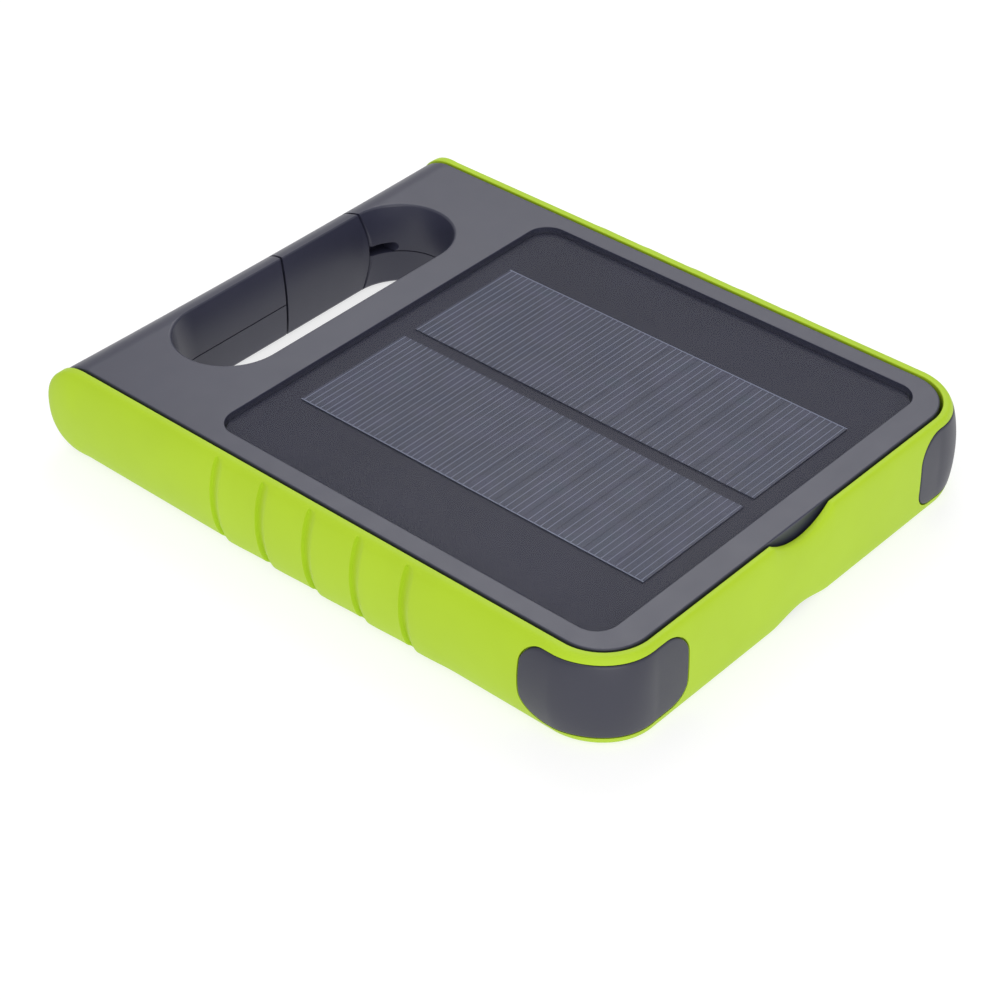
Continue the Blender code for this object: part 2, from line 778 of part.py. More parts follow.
def frame_blank(bm):
    """Rings at growing distance from the mid height, first outside and then inside."""
    spots = frame_stations()
    cheek_turns = [math.radians(90 - 180 * i / 10) for i in range(1, 10)]
    over, under = math.pi / 2, -math.pi / 2

    def flat(spot, share, turn):
        return 0.0

    def place(spot, share, turn, depth_of):
        x, y, nx, ny = spot[:4]
        depth = depth_of(spot, share, turn)
        across, up = abs(math.cos(turn)), abs(math.sin(turn))
        reach = (across**CHEEK_PLAN_POWER + up**CHEEK_PLAN_POWER) ** (-1 / CHEEK_PLAN_POWER)
        radius = MID_Z * share * reach
        end = radius * math.cos(turn)
        return bm.verts.new(
            (x + nx * depth, y + ny * depth + end, MID_Z + radius * math.sin(turn))
        )

    def ring(share, depth_of):
        top = [place(spot, share, over, depth_of) for spot in spots]
        right = [place(spots[-1], share, turn, depth_of) for turn in cheek_turns]
        low = [place(spot, share, under, depth_of) for spot in reversed(spots)]
        left = [place(spots[0], share, turn, depth_of) for turn in reversed(cheek_turns)]
        return top + right + low + left

    def spine(depth_of):
        """The row of points at mid height, once for the top and once for the underside."""
        row = [place(spot, 0.0, over, depth_of) for spot in spots]
        caps = len(cheek_turns)
        return row + [row[-1]] * caps + row[::-1] + [row[0]] * caps

    inner_edge = 1 - 0.4 * MM / MID_Z
    rings = [spine(frame_depth)]
    rings += [ring(share, frame_depth) for share in (0.25, 0.48, 0.68, 0.83, 0.92, 0.975, 1.0)]
    rings += [ring(inner_edge, flat), spine(flat)]
    for lower, upper in zip(rings, rings[1:]):
        for i in range(len(lower)):
            j = (i + 1) % len(lower)
            corners = []
            for vert in (lower[i], lower[j], upper[j], upper[i]):
                if vert not in corners:
                    corners.append(vert)
            bm.faces.new(corners)


def notch_tool(bm):
    """Two round bars across the front, which cut the finger notches."""
    for depth, centre_sign in ((NOTCH_TOP, 1), (NOTCH_BOTTOM, -1)):
        radius = (NOTCH_HALF**2 + depth**2) / (2 * depth)
        face = HEIGHT if centre_sign > 0 else 0.0
        centre_z = face + centre_sign * (radius - depth)
        add_cylinder(bm, (0, FRAME_FRONT - 10 * MM, centre_z), radius, 12 * MM, "Y", 48)


def pad_spots(front_x, extra):
    """Spots round the left front corner, with their distances from the pad's two ends."""
    corner_y = FRAME_FRONT + FRAME_CORNER
    side_length = PAD_BACK + extra - corner_y
    quarter = FRAME_CORNER * math.pi / 2
    front_length = FRAME_HALF - FRAME_CORNER - front_x + extra
    length = side_length + quarter + front_length
    ends = [PAD_ROUND_WIDE * t for t in (0.0, 0.08, 0.25, 0.5, 0.73, 1.0)]
    marks = set(ends) | {length - distance for distance in ends}
    marks |= {side_length + quarter * i / 7 for i in range(8)}
    made = []
    for distance in sorted(marks):
        along = distance - side_length
        if along <= 0:
            spot = arm_spot(corner_y - along)
        elif along <= quarter:
            spot = corner_spot(along / quarter)
        else:
            x = -FRAME_HALF + FRAME_CORNER + along - quarter
            spot = (x, FRAME_FRONT, 0.0, -1.0, FRONT)
        made.append((spot, distance, length - distance))
    return made


def corner_bend(radius, from_end):
    """How far a rounded corner bends an edge in, at this distance from the end."""
    reach = max(radius - from_end, 0.0)
    return radius - math.sqrt(max(radius**2 - reach**2, 0.0))


def pad_shape(bm, side, extra, below, above):
    """A wrapped pad between two depths of the frame's surface, grown by the extra."""
    front_x = PAD_FRONT_LEFT if side < 0 else PAD_FRONT_RIGHT
    rings = []
    for spot, from_rear, from_front in pad_spots(front_x, extra):
        x, y, nx, ny, (bulge, taper, fullness) = spot
        narrow = [corner_bend(PAD_ROUND, from_end) for from_end in (from_rear, from_front)]
        wide = [corner_bend(PAD_ROUND_WIDE, from_end) for from_end in (from_rear, from_front)]
        low = PAD_LOW - extra + max(wide[0], narrow[1])
        high = PAD_HIGH + extra - max(narrow[0], wide[1])
        heights = [low + (high - low) * i / 8 for i in range(9)]
        faces = []
        for offset, order in ((above, heights), (-below, heights[::-1])):
            for z in order:
                taper_here = taper * (LOWER_TAPER_SHARE if z < MID_Z else 1.0)
                depth = bar_depth(abs(z / MID_Z - 1), bulge, taper_here, fullness) + offset
                faces.append((-side * (x + nx * depth), y + ny * depth, z))
        rings.append(faces)
    loft(bm, rings)


def make_frame():
    frame = simple_part("frame", GREEN, frame_blank)
    boolean(frame, simple_cutter("finger_notches", notch_tool))
    pockets = simple_cutter(
        "pad_pockets",
        lambda bm: [pad_shape(bm, side, GAP, PAD_THICK + GAP, 2 * MM) for side in (-1, 1)],
    )
    boolean(frame, pockets)

    def blind_holes(bm):
        for side in (-1, 1):
            start = min(side * (FRAME_HALF - MM), side * 69.4 * MM)
            length = 69.4 * MM - FRAME_HALF + MM
            add_cylinder(
                bm, (start, PIVOT_Y, MID_Z), THREAD_RADIUS + GAP, length, "X", SMALL_STEPS
            )

    boolean(frame, simple_cutter("pivot_blind_holes", blind_holes))
    set_origin(frame, (0, PIVOT_Y, MID_Z))
    for side, name in ((-1, "corner_pad_left"), (1, "corner_pad_right")):
        pad = simple_part(
            name, PAD_GREY, lambda bm, side=side: pad_shape(bm, side, 0.0, PAD_THICK, 0.0)
        )
        set_origin(pad, (0, PIVOT_Y, MID_Z))


def add_tube_ring(bm, centre, inner, outer, length, axis="X", steps=ROUND_STEPS):
    """A plain tube: a turned ring with a bore."""
    add_turned_ring(bm, [(0, inner), (0, outer), (length, outer), (length, inner)], centre, axis, steps)


def add_turned_ring(bm, profile, centre, axis, steps):
    place = Matrix.Translation(centre)
    if axis == "X":
        place = place @ Matrix.Rotation(math.radians(90), 4, "Y")
    rings = []
    for along, radius in profile + profile[:1]:
        circle = arc(0, 0, radius, 0, 360 - 360 / steps, steps - 1)
        rings.append([place @ Vector((x, y, along)) for x, y in circle])
    loft(bm, rings, capped=False)
    bmesh.ops.remove_doubles(bm, verts=bm.verts, dist=1e-7)


def make_pivots():
    """Shoulder screws fixed to the frame, bushes in the casing and washers between them."""
    for side, word in ((-1, "left"), (1, "right")):
        profile = [
            (54.4 * MM, 4.8 * MM),
            (57.0 * MM, 4.8 * MM),
            (57.0 * MM, SHOULDER_RADIUS),
            (65.5 * MM, SHOULDER_RADIUS),
            (65.5 * MM, THREAD_RADIUS),
            (69.1 * MM, THREAD_RADIUS),
        ]
        turned = [(side * along, radius) for along, radius in profile]
        screw = simple_part(
            f"pivot_screw_{word}",
            STEEL,
            lambda bm, turned=turned: add_turned(bm, turned, (0, PIVOT_Y, MID_Z), "X"),
        )
        set_origin(screw, (0, PIVOT_Y, MID_Z))
        bush_start = min(side * 57.3 * MM, side * WASHER_SEAT_X)
        simple_part(
            f"pivot_bush_{word}",
            NYLON,
            lambda bm, start=bush_start: add_tube_ring(
                bm, (start, PIVOT_Y, MID_Z), SHOULDER_RADIUS + GAP, BUSH_RADIUS, 7.0 * MM
            ),
        )
        washer_start = min(side * 64.6 * MM, side * 65.4 * MM)
        simple_part(
            f"friction_washer_{word}",
            BRONZE,
            lambda bm, start=washer_start: add_tube_ring(
                bm, (start, PIVOT_Y, MID_Z), SHOULDER_RADIUS + GAP, WASHER_RADIUS, 0.8 * MM
            ),
        )


# ---------------------------------------------------------------- panel
def make_panel():
    side_gap = GAP + 0.1 * MM
    board_z = POCKET_FLOOR + GAP
    cell_z = board_z + BOARD_THICK + 0.1 * MM
    cover_top = HEIGHT - PANEL_SINK
    outline = rounded_rectangle(
        -PANEL_HALF + side_gap,
        PANEL_HALF - side_gap,
        PANEL_FRONT + side_gap,
        PANEL_BACK - side_gap,
        PANEL_CORNER,
    )
    simple_part(
        "panel_board",
        PANEL_BLACK,
        lambda bm: add_prism(bm, outline, board_z, board_z + BOARD_THICK),
    )
    for side, name in ((-1, "solar_cells_left"), (1, "solar_cells_right")):
        near, far = side * CELL_MIDDLE_GAP, side * CELL_HALF
        low = (min(near, far), CELL_FRONT, cell_z)
        high = (max(near, far), CELL_BACK, cell_z + CELL_THICK)
        simple_part(name, CELL_BLUE, lambda bm, low=low, high=high: add_box(bm, low, high))
    cover_z = cell_z + CELL_THICK + 0.1 * MM
    simple_part("panel_cover", CLEAR, lambda bm: add_prism(bm, outline, cover_z, cover_top))


# ---------------------------------------------------------------- electronics
def make_board():
    def outline(bm):
        x, y0, y1 = 46 * MM, -82.4 * MM, -45 * MM
        add_prism(bm, rounded_rectangle(-x, x, y0, y1, 1.5 * MM, 3), BOARD_Z, BOARD_TOP)

    def holes(bm):
        for x, y in BOARD_SCREW_PLACES:
            add_cylinder(bm, (x, y, 0), 1.4 * MM, 10 * MM, steps=SMALL_STEPS)

    board = simple_part("main_board", BOARD_GREEN, outline)
    boolean(board, simple_cutter("main_board_holes", holes))
    profile = [
        (1.5 * MM, 0.8 * MM),
        (BOARD_TOP + GAP, 0.8 * MM),
        (BOARD_TOP + GAP, 1.9 * MM),
        (BOARD_TOP + 1.6 * MM, 1.9 * MM),
    ]
    for number, (x, y) in enumerate(BOARD_SCREW_PLACES, start=1):
        simple_part(
            f"board_screw_{number}",
            STEEL,
            lambda bm, x=x, y=y: add_turned(bm, profile, (x, y, 0), steps=SMALL_STEPS),
        )


def port_shell(name, x, width, height, length, wall, tongue_high):
    """A metal socket with its contact tongue, open at the front."""
    front = CORE_FRONT + 0.2 * MM
    low = (x - width / 2, front, PARTS_Z)
    high = (x + width / 2, front + length, PARTS_Z + height)
    port = simple_part(name, STEEL, lambda bm: add_box(bm, low, high))

    def hollow(bm):
        add_box(
            bm,
            (low[0] + wall, front - MM, low[2] + wall),
            (high[0] - wall, front + length - 3 * MM, high[2] - wall),
        )

    boolean(port, simple_cutter(name + "_hollow", hollow))
    half = width / 2 - wall - 0.8 * MM
    tongue_z = PARTS_Z + height / 2 + (height / 2 - wall) * 0.25
    tongue = simple_cutter(
        name + "_tongue",
        lambda bm: add_box(
            bm,
            (x - half, front + 1.2 * MM, tongue_z),
            (x + half, front + length - 2 * MM, tongue_z + tongue_high),
        ),
    )
    boolean(port, tongue, "UNION")


def make_ports():
    port_shell("usb_a_port", USB_A_X, 13.2 * MM, 5.4 * MM, 14 * MM, 0.4 * MM, 1.4 * MM)
    port_shell("micro_usb_port", MICRO_USB_X, 7.9 * MM, 2.9 * MM, 5.6 * MM, 0.4 * MM, 0.5 * MM)


def make_button():
    front = CORE_FRONT - 0.2 * MM
    half_x, half_z = 6.0 * MM, 2.1 * MM
    inner = CORE_FRONT + WALL + GAP

    def stem(bm):
        outline = rounded_rectangle(-half_x, half_x, -half_z, half_z, 1.9 * MM, 4)
        add_slab(bm, outline, front, inner + 0.4 * MM)

    def flange(bm):
        outline = rounded_rectangle(
            -half_x - MM, half_x + MM, -half_z - 0.8 * MM, half_z + 0.8 * MM, 1.9 * MM, 4
        )
        add_slab(bm, outline, inner, inner + 0.8 * MM)

    def add_slab(bm, outline, near, far):
        rings = [[(BUTTON_X + x, y, BUTTON_Z + z) for x, z in outline] for y in (near, far)]
        loft(bm, rings)

    button = simple_part("power_button", PAD_GREY, stem)
    boolean(button, simple_cutter("power_button_flange", flange), "UNION")
    set_origin(button, (BUTTON_X, CORE_FRONT, BUTTON_Z))


def make_board_parts():
    z = PARTS_Z
    switch_y = CORE_FRONT + WALL + 2.6 * MM
    simple_part(
        "button_switch",
        CHIP_BLACK,
        lambda bm: add_box(
            bm, (BUTTON_X - 3 * MM, switch_y, z), (BUTTON_X + 3 * MM, switch_y + 4 * MM, z + 5 * MM)
        ),
    )
    lens_low = (LENS_X - 6 * MM, CORE_FRONT, 5.4 * MM)
    lens_high = (LENS_X + 6 * MM, CORE_FRONT + WALL + 0.4 * MM, 7.4 * MM)
    simple_part("indicator_lens", CLEAR, lambda bm: add_box(bm, lens_low, lens_high))
    led_y = CORE_FRONT + WALL + 0.9 * MM
    for number in range(4):
        x = LENS_X + (number - 1.5) * 3 * MM
        low = (x - 0.8 * MM, led_y, z)
        high = (x + 0.8 * MM, led_y + 1.2 * MM, z + 1.8 * MM)
        simple_part(
            f"indicator_led_{number + 1}",
            LED_WHITE,
            lambda bm, low=low, high=high: add_box(bm, low, high),
        )
    simple_part(
        "controller_chip",
        CHIP_BLACK,
        lambda bm: add_box(bm, (-12 * MM, -64 * MM, z), (-5 * MM, -57 * MM, z + MM)),
    )
    simple_part(
        "boost_inductor",
        CHIP_BLACK,
        lambda bm: add_cylinder(bm, (6 * MM, -58 * MM, z), 4 * MM, 4 * MM, steps=16),
    )


def make_battery():
    pad_top = FLOOR + GAP + 2.0 * MM
    simple_part(
        "battery_pad",
        FOAM,
        lambda bm: add_box(
            bm, (-36 * MM, -36 * MM, FLOOR + GAP), (36 * MM, 38 * MM, pad_top)
        ),
    )
    low, high = pad_top + GAP, pad_top + GAP + 8 * MM
    middle, edge = (low + high) / 2, 1.2 * MM
    x, y0, y1 = 40 * MM, -38 * MM, 42 * MM

    def pouch(bm):
        rings = []
        for z, inset in ((low, edge), (low + edge, 0), (middle, 0), (high - edge, 0), (high, edge)):
            outline = rounded_rectangle(-x + inset, x - inset, y0 + inset, y1 - inset, 3 * MM, 3)
            rings.append([(px, py, z) for px, py in outline])
        loft(bm, rings)

    simple_part("battery_pack", FOIL, pouch)


def smooth_route(points, steps=4):
    """Points on a Catmull-Rom curve through the route's own points."""
    route = [Vector(point) * MM for point in points]
    padded = [route[0] * 2 - route[1], *route, route[-1] * 2 - route[-2]]
    made = []
    for a, b, c, d in zip(padded, padded[1:], padded[2:], padded[3:]):
        for i in range(steps):
            t = i / steps
            made.append(
                0.5
                * (
                    2 * b
                    + (c - a) * t
                    + (2 * a - 5 * b + 4 * c - d) * t**2
                    + (3 * b - a - 3 * c + d) * t**3
                )
            )
    return [*made, route[-1]]


def make_leads():
    """Insulated leads from the panel and from the battery to the board."""
    wire = 0.7 * MM
    board_top = BOARD_TOP / MM + 1.0
    for side, word, look in ((-1, "positive", RED_WIRE), (1, "negative", BLACK_WIRE)):
        x = side * 1.2
        panel_route = [
            (x, 30, 20.8),
            (x, 29.4, 18.2),
            (x, 24, 16.6),
            (x, -20, 16.4),
            (x, -40, 15.4),
            (x, -47.6, 10),
            (x, -48.2, board_top),
        ]
        tube(f"panel_lead_{word}", smooth_route(panel_route, 3), wire, look)
        bx = 26 + side * 1.6
        battery_route = [
            (bx, -39.4, 9.4),
            (bx, -42.6, 9.6),
            (bx, -46.6, 9.2),
            (bx, -48.6, board_top + 1.4),
            (bx, -48.8, board_top),
        ]
        tube(f"battery_lead_{word}", smooth_route(battery_route, 3), wire, look)


def main():
    tools = make_core_cutters()
    make_shells(tools)
    make_gasket()
    make_case_screws()
    make_gate(tools)
    make_gate_hardware()
    make_frame()
    make_pivots()
    make_panel()
    make_board()
    make_ports()
    make_button()
    make_board_parts()
    make_battery()
    make_leads()


main()
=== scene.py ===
"""Looks of the solar phone charger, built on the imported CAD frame.

Units are metres, as in the frame. The visible pieces are rebuilt with fine surfaces in the
places that the CAD nodes hold. The inner pieces keep their CAD shapes and get materials.
"""

import json
import math

import bmesh
import bpy
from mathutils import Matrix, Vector


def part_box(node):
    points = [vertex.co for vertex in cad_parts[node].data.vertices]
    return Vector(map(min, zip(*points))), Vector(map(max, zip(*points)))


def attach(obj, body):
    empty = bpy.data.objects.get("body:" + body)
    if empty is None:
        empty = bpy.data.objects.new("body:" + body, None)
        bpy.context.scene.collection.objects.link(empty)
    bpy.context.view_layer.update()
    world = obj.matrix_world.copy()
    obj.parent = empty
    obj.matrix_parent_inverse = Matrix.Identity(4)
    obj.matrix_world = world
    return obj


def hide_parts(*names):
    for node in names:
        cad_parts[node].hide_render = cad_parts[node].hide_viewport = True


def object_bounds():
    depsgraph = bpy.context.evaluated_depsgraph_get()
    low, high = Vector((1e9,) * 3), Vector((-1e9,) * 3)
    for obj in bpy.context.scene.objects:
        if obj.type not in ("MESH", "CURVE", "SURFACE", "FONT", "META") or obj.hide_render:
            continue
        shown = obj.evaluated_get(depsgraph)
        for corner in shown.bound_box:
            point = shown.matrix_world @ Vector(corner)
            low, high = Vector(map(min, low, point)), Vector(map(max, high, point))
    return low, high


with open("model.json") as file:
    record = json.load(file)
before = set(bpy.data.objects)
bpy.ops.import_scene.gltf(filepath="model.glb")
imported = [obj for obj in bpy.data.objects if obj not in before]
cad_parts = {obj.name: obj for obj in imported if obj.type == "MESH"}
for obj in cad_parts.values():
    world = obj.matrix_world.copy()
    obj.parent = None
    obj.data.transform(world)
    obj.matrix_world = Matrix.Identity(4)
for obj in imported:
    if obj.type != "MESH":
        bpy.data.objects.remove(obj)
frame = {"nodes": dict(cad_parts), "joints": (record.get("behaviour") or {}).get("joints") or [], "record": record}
CAD_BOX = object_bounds()
NODES = frame["nodes"]
MM = 0.001


# ---------------------------------------------------------------- sizes, from the frame
def joint_place(name):
    joint = next(item for item in frame["joints"] if item["name"] == name)
    return Vector(joint["pos_m"])


CORE_LOW, CORE_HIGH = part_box("top_shell")
CORE_LOW.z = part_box("bottom_shell")[0].z
HEIGHT = CORE_HIGH.z
MID_Z = HEIGHT / 2
CORE_HALF = CORE_HIGH.x
CORE_FRONT = CORE_LOW.y
CORE_CORNER = 12.2 * MM
CORE_EDGE = 0.4 * MM
SPLIT_Z = (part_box("top_shell")[0].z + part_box("bottom_shell")[1].z) / 2
SPLIT_GAP = 0.16 * MM
WALL = 2.4 * MM

PIVOT = joint_place("frame_swing")
BACK_BOW = 0.65 * MM
BACK_CHAMFER = 1.0 * MM

OPENING_HALF = 45.0 * MM
OPENING_RADIUS = 15.0 * MM
OPENING_Y = 66.8 * MM
OPENING_BULGE = 1.2 * MM
OPENING_ROUND_HIGH = 0.6 * MM
OPENING_ROUND_LOW = 1.4 * MM

COVER_LOW, COVER_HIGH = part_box("panel_cover")
PANEL_MARGIN = 0.35 * MM
PANEL_CORNER = 6.0 * MM
RECESS_ROUND = 0.2 * MM

GATE_PIN = joint_place("gate_swing")
GATE_RADIUS = 7.95 * MM
GATE_END_BULGE = 1.5 * MM
GATE_CLEARANCE = 0.7 * MM
GATE_TIP = (2.0 * MM, 3.9 * MM)
SLOT_HALF_HIGH = 1.4 * MM
SLOT_END_X = 39.9 * MM
GATE_TIP_Y = (80.0 * MM, 91.0 * MM)
SLOT_START_X = 25 * MM
SLOT_ROOM_Y = 81.2 * MM
SLOT_ROOM_REACH = 3.5 * MM
TONGUE_START_X = 29.0 * MM
TONGUE_HALF_WIDE = 1.6 * MM
TONGUE_HALF_THICK = 1.05 * MM
TONGUE_RADIUS = 3.0 * MM

BAY_BACK = 48.2 * MM
BAY_LOW, BAY_HIGH = 2.2 * MM, 19.8 * MM
PIVOT_BORE_RADIUS = 3.9 * MM
SCREW_RECESS_RADIUS, SCREW_RECESS_DEPTH = 3.0 * MM, 2.9 * MM
WINDOW_MARGIN = 0.4 * MM
BUTTON_FLANGE = 1.0 * MM

FRAME_HALF = 65.8 * MM
FRAME_FRONT = -87.2 * MM
FRAME_CORNER = 13.0 * MM
# The bar's bulge at mid height, what it loses towards its edges, and how square those are.
SIDE = (5.4 * MM, 2.8 * MM, 6.5)
CORNER = (3.9 * MM, 1.6 * MM, 6.5)
FRONT = (2.8 * MM, 0.6 * MM, 6.0)
CHEEK_TAPER = 1.0 * MM
CHEEK_FULLNESS = 8.5
LOWER_TAPER_SHARE = 0.88
CHEEK_Y = PIVOT.y - 0.6 * MM
CHEEK_PLAN_POWER = 2.4
LIP = 0.75 * MM
LIP_ROUND = 0.25 * MM

GROOVE_FIRST = 31.95 * MM
GROOVE_PITCH = 15.43 * MM
GROOVE_COUNT = 5
GROOVE_DEPTH = 0.75 * MM
GROOVE_STEP = 0.2 * MM
GROOVE_RAMP = 3.6 * MM
GROOVE_HUMP = 0.45 * MM
GROOVE_LOWER_GAIN = 0.4
GROOVE_CREST = 0.1 * MM

NOTCH_HALF = 11.0 * MM
NOTCH_TOP = 3.7 * MM
NOTCH_BOTTOM = 1.7 * MM

PAD_BACK = -65.4 * MM
PAD_FRONT = {-1: 42.4 * MM, 1: 45.4 * MM}
PAD_LOW = 2.5 * MM
PAD_HIGH = 22.7 * MM
PAD_ROUND = 5.5 * MM
PAD_ROUND_WIDE = 7.5 * MM
PAD_THICK = 0.8 * MM
PAD_SEAM = 0.25 * MM

CELL_STRIPS = 12
STRIP_GAP = 0.04 * MM
FINGER_PITCH = 1.84 * MM
FINGER_HALF = 0.09 * MM
PRINT_THICK = 0.02 * MM
BUSBAR_WIDE = 0.3 * MM


# ---------------------------------------------------------------- materials
class Look:
    """A material's node tree, with short calls for the nodes it needs."""

    def __init__(self, name, roughness, **inputs):
        self.material = bpy.data.materials.new(name)
        self.material.use_nodes = True
        self.nodes = self.material.node_tree.nodes
        self.links = self.material.node_tree.links
        self.shader = self.nodes["Principled BSDF"]
        self.shader.inputs["Roughness"].default_value = roughness
        for key, value in inputs.items():
            self.shader.inputs[key.replace("_", " ")].default_value = value
        self.place = self.nodes.new("ShaderNodeTexCoord").outputs["Object"]

    def noise(self, scale, detail=3.0, stretch=None):
        vector = self.place
        if stretch:
            mapping = self.nodes.new("ShaderNodeMapping")
            mapping.inputs["Scale"].default_value = stretch
            self.links.new(vector, mapping.inputs["Vector"])
            vector = mapping.outputs["Vector"]
        texture = self.nodes.new("ShaderNodeTexNoise")
        texture.inputs["Scale"].default_value = scale
        texture.inputs["Detail"].default_value = detail
        self.links.new(vector, texture.inputs["Vector"])
        return texture.outputs["Fac"]

    def ramp(self, value, *stops):
        """A colour ramp through (position, colour) stops."""
        node = self.nodes.new("ShaderNodeValToRGB")
        elements = node.color_ramp.elements
        while len(elements) < len(stops):
            elements.new(0.5)
        for element, (position, colour) in zip(elements, stops):
            element.position = position
            element.color = (*colour, 1.0)
        self.links.new(value, node.inputs["Fac"])
        return node.outputs["Color"]

    def spread(self, value, low, high):
        node = self.nodes.new("ShaderNodeMapRange")
        node.inputs["To Min"].default_value = low
        node.inputs["To Max"].default_value = high
        self.links.new(value, node.inputs["Value"])
        return node.outputs["Result"]

    def connect(self, value, socket):
        self.links.new(value, self.shader.inputs[socket])

    def bump(self, value, height, strength=1.0, under=None):
        node = self.nodes.new("ShaderNodeBump")
        node.inputs["Distance"].default_value = height
        node.inputs["Strength"].default_value = strength
        self.links.new(value, node.inputs["Height"])
        if under:
            self.links.new(under, node.inputs["Normal"])
        return node.outputs["Normal"]


def shade(colour, share):
    return tuple(min(channel * share, 1.0) for channel in colour)


def moulded(name, colour, roughness, grain=2600.0, grain_height=0.012, mottle=0.05, **inputs):
    """Moulded plastic or rubber: slow mottling, a fine spark-eroded grain, uneven gloss."""
    look = Look(name, roughness, **inputs)
    tones = look.ramp(
        look.noise(45.0), (0.3, shade(colour, 1 - mottle)), (0.7, shade(colour, 1 + mottle))
    )
    look.connect(tones, "Base Color")
    grain_noise = look.noise(grain, 2.0)
    uneven = look.noise(160.0, 4.0)
    look.connect(look.spread(uneven, roughness - 0.05, roughness + 0.05), "Roughness")
    ripple = look.bump(uneven, 0.02 * MM, 0.4)
    look.connect(look.bump(grain_noise, grain_height * MM, 0.6, ripple), "Normal")
    return look.material


def metal(name, colour, roughness):
    """Drawn or turned metal: fine lines one way, and a slightly uneven tone."""
    look = Look(name, roughness, Metallic=1.0)
    lines = look.noise(700.0, 2.0, stretch=(1.0, 0.06, 1.0))
    tones = look.ramp(lines, (0.3, shade(colour, 0.86)), (0.7, shade(colour, 1.08)))
    look.connect(tones, "Base Color")
    look.connect(look.spread(lines, roughness - 0.06, roughness + 0.1), "Roughness")
    look.connect(look.bump(lines, 0.006 * MM, 0.5), "Normal")
    return look.material


GREEN = moulded(
    "green_elastomer", (0.43, 0.625, 0.022), 0.48, grain=1800.0, mottle=0.03, Specular_IOR_Level=0.25
)
GREY = moulded(
    "grey_plastic", (0.034, 0.035, 0.062), 0.38, mottle=0.04, Specular_IOR_Level=0.55
)
PAD = moulded(
    "pad_rubber", (0.023, 0.024, 0.042), 0.42, grain=1500.0, mottle=0.05, Specular_IOR_Level=0.6
)
BUTTON_RUBBER = moulded("button_rubber", (0.05, 0.05, 0.06), 0.6)
SEAL = moulded("seal_rubber", (0.02, 0.02, 0.02), 0.7)
NYLON = moulded("nylon", (0.66, 0.65, 0.6), 0.45)
CHIP = moulded("chip_epoxy", (0.02, 0.02, 0.021), 0.45)
FERRITE = moulded("ferrite", (0.05, 0.05, 0.05), 0.7, grain=3500.0, grain_height=0.03)
RED_WIRE = moulded("red_insulation", (0.45, 0.02, 0.015), 0.4)
BLACK_WIRE = moulded("black_insulation", (0.02, 0.02, 0.02), 0.4)
LED = moulded("led_resin", (0.75, 0.75, 0.68), 0.3)
STEEL = metal("plated_steel", (0.55, 0.55, 0.56), 0.3)
BRONZE = metal("phosphor_bronze", (0.55, 0.33, 0.14), 0.35)


def cell_glass():
    """Blue-grey silicon: crystal patches that differ a little in hue."""
    look = Look("silicon_cell", 0.3, Specular_IOR_Level=0.2)
    patches = look.noise(95.0, 1.0)
    tones = look.ramp(
        patches,
        (0.30, (0.024, 0.030, 0.066)),
        (0.48, (0.027, 0.031, 0.062)),
        (0.60, (0.034, 0.036, 0.076)),
        (0.75, (0.026, 0.036, 0.068)),
    )
    look.connect(tones, "Base Color")
    look.connect(look.spread(look.noise(420.0), 0.25, 0.4), "Roughness")
    return look.material


def printed(name, colour, roughness, mottle):
    """A smooth print or film: uneven only in tone and gloss."""
    look = Look(name, roughness, Specular_IOR_Level=0.1)
    cloud = look.noise(30.0)
    tones = look.ramp(cloud, (0.3, shade(colour, 1 - mottle)), (0.7, shade(colour, 1 + mottle)))
    look.connect(tones, "Base Color")
    look.connect(look.spread(cloud, roughness - 0.05, roughness + 0.05), "Roughness")
    return look.material


def clear_sheet(name, alpha):
    look = Look(name, 0.22, Alpha=alpha, Specular_IOR_Level=0.4)
    haze = look.noise(60.0)
    tones = look.ramp(haze, (0.3, (0.15, 0.16, 0.19)), (0.7, (0.2, 0.21, 0.24)))
    look.connect(tones, "Base Color")
    look.connect(look.spread(look.noise(300.0), 0.18, 0.28), "Roughness")
    return look.material


def circuit_resist():
    look = Look("solder_resist", 0.35)
    tracks = look.noise(260.0, 0.0, stretch=(1.0, 0.25, 1.0))
    tones = look.ramp(tracks, (0.47, (0.01, 0.11, 0.04)), (0.52, (0.02, 0.19, 0.07)))
    look.connect(tones, "Base Color")
    look.connect(look.bump(tracks, 0.03 * MM, 0.5), "Normal")
    return look.material


def foil():
    look = Look("pouch_foil", 0.35, Metallic=0.7)
    creases = look.noise(110.0, 6.0)
    tones = look.ramp(creases, (0.3, (0.45, 0.46, 0.48)), (0.7, (0.62, 0.63, 0.65)))
    look.connect(tones, "Base Color")
    look.connect(look.bump(creases, 0.2 * MM, 0.5), "Normal")
    return look.material


def foam():
    look = Look("open_foam", 0.9)
    pores = look.noise(1400.0, 2.0)
    tones = look.ramp(pores, (0.35, (0.01, 0.01, 0.01)), (0.6, (0.06, 0.06, 0.06)))
    look.connect(tones, "Base Color")
    look.connect(look.bump(pores, 0.3 * MM), "Normal")
    return look.material


CELL = cell_glass()
PANEL_FILM = printed("panel_film", (0.014, 0.014, 0.032), 0.35, 0.1)
SILVER_INK = printed("silver_print", (0.20, 0.22, 0.31), 0.5, 0.08)
COVER = clear_sheet("clear_cover", 0.04)
LENS = clear_sheet("clear_lens", 0.35)
RESIST = circuit_resist()
FOIL = foil()
FOAM = foam()

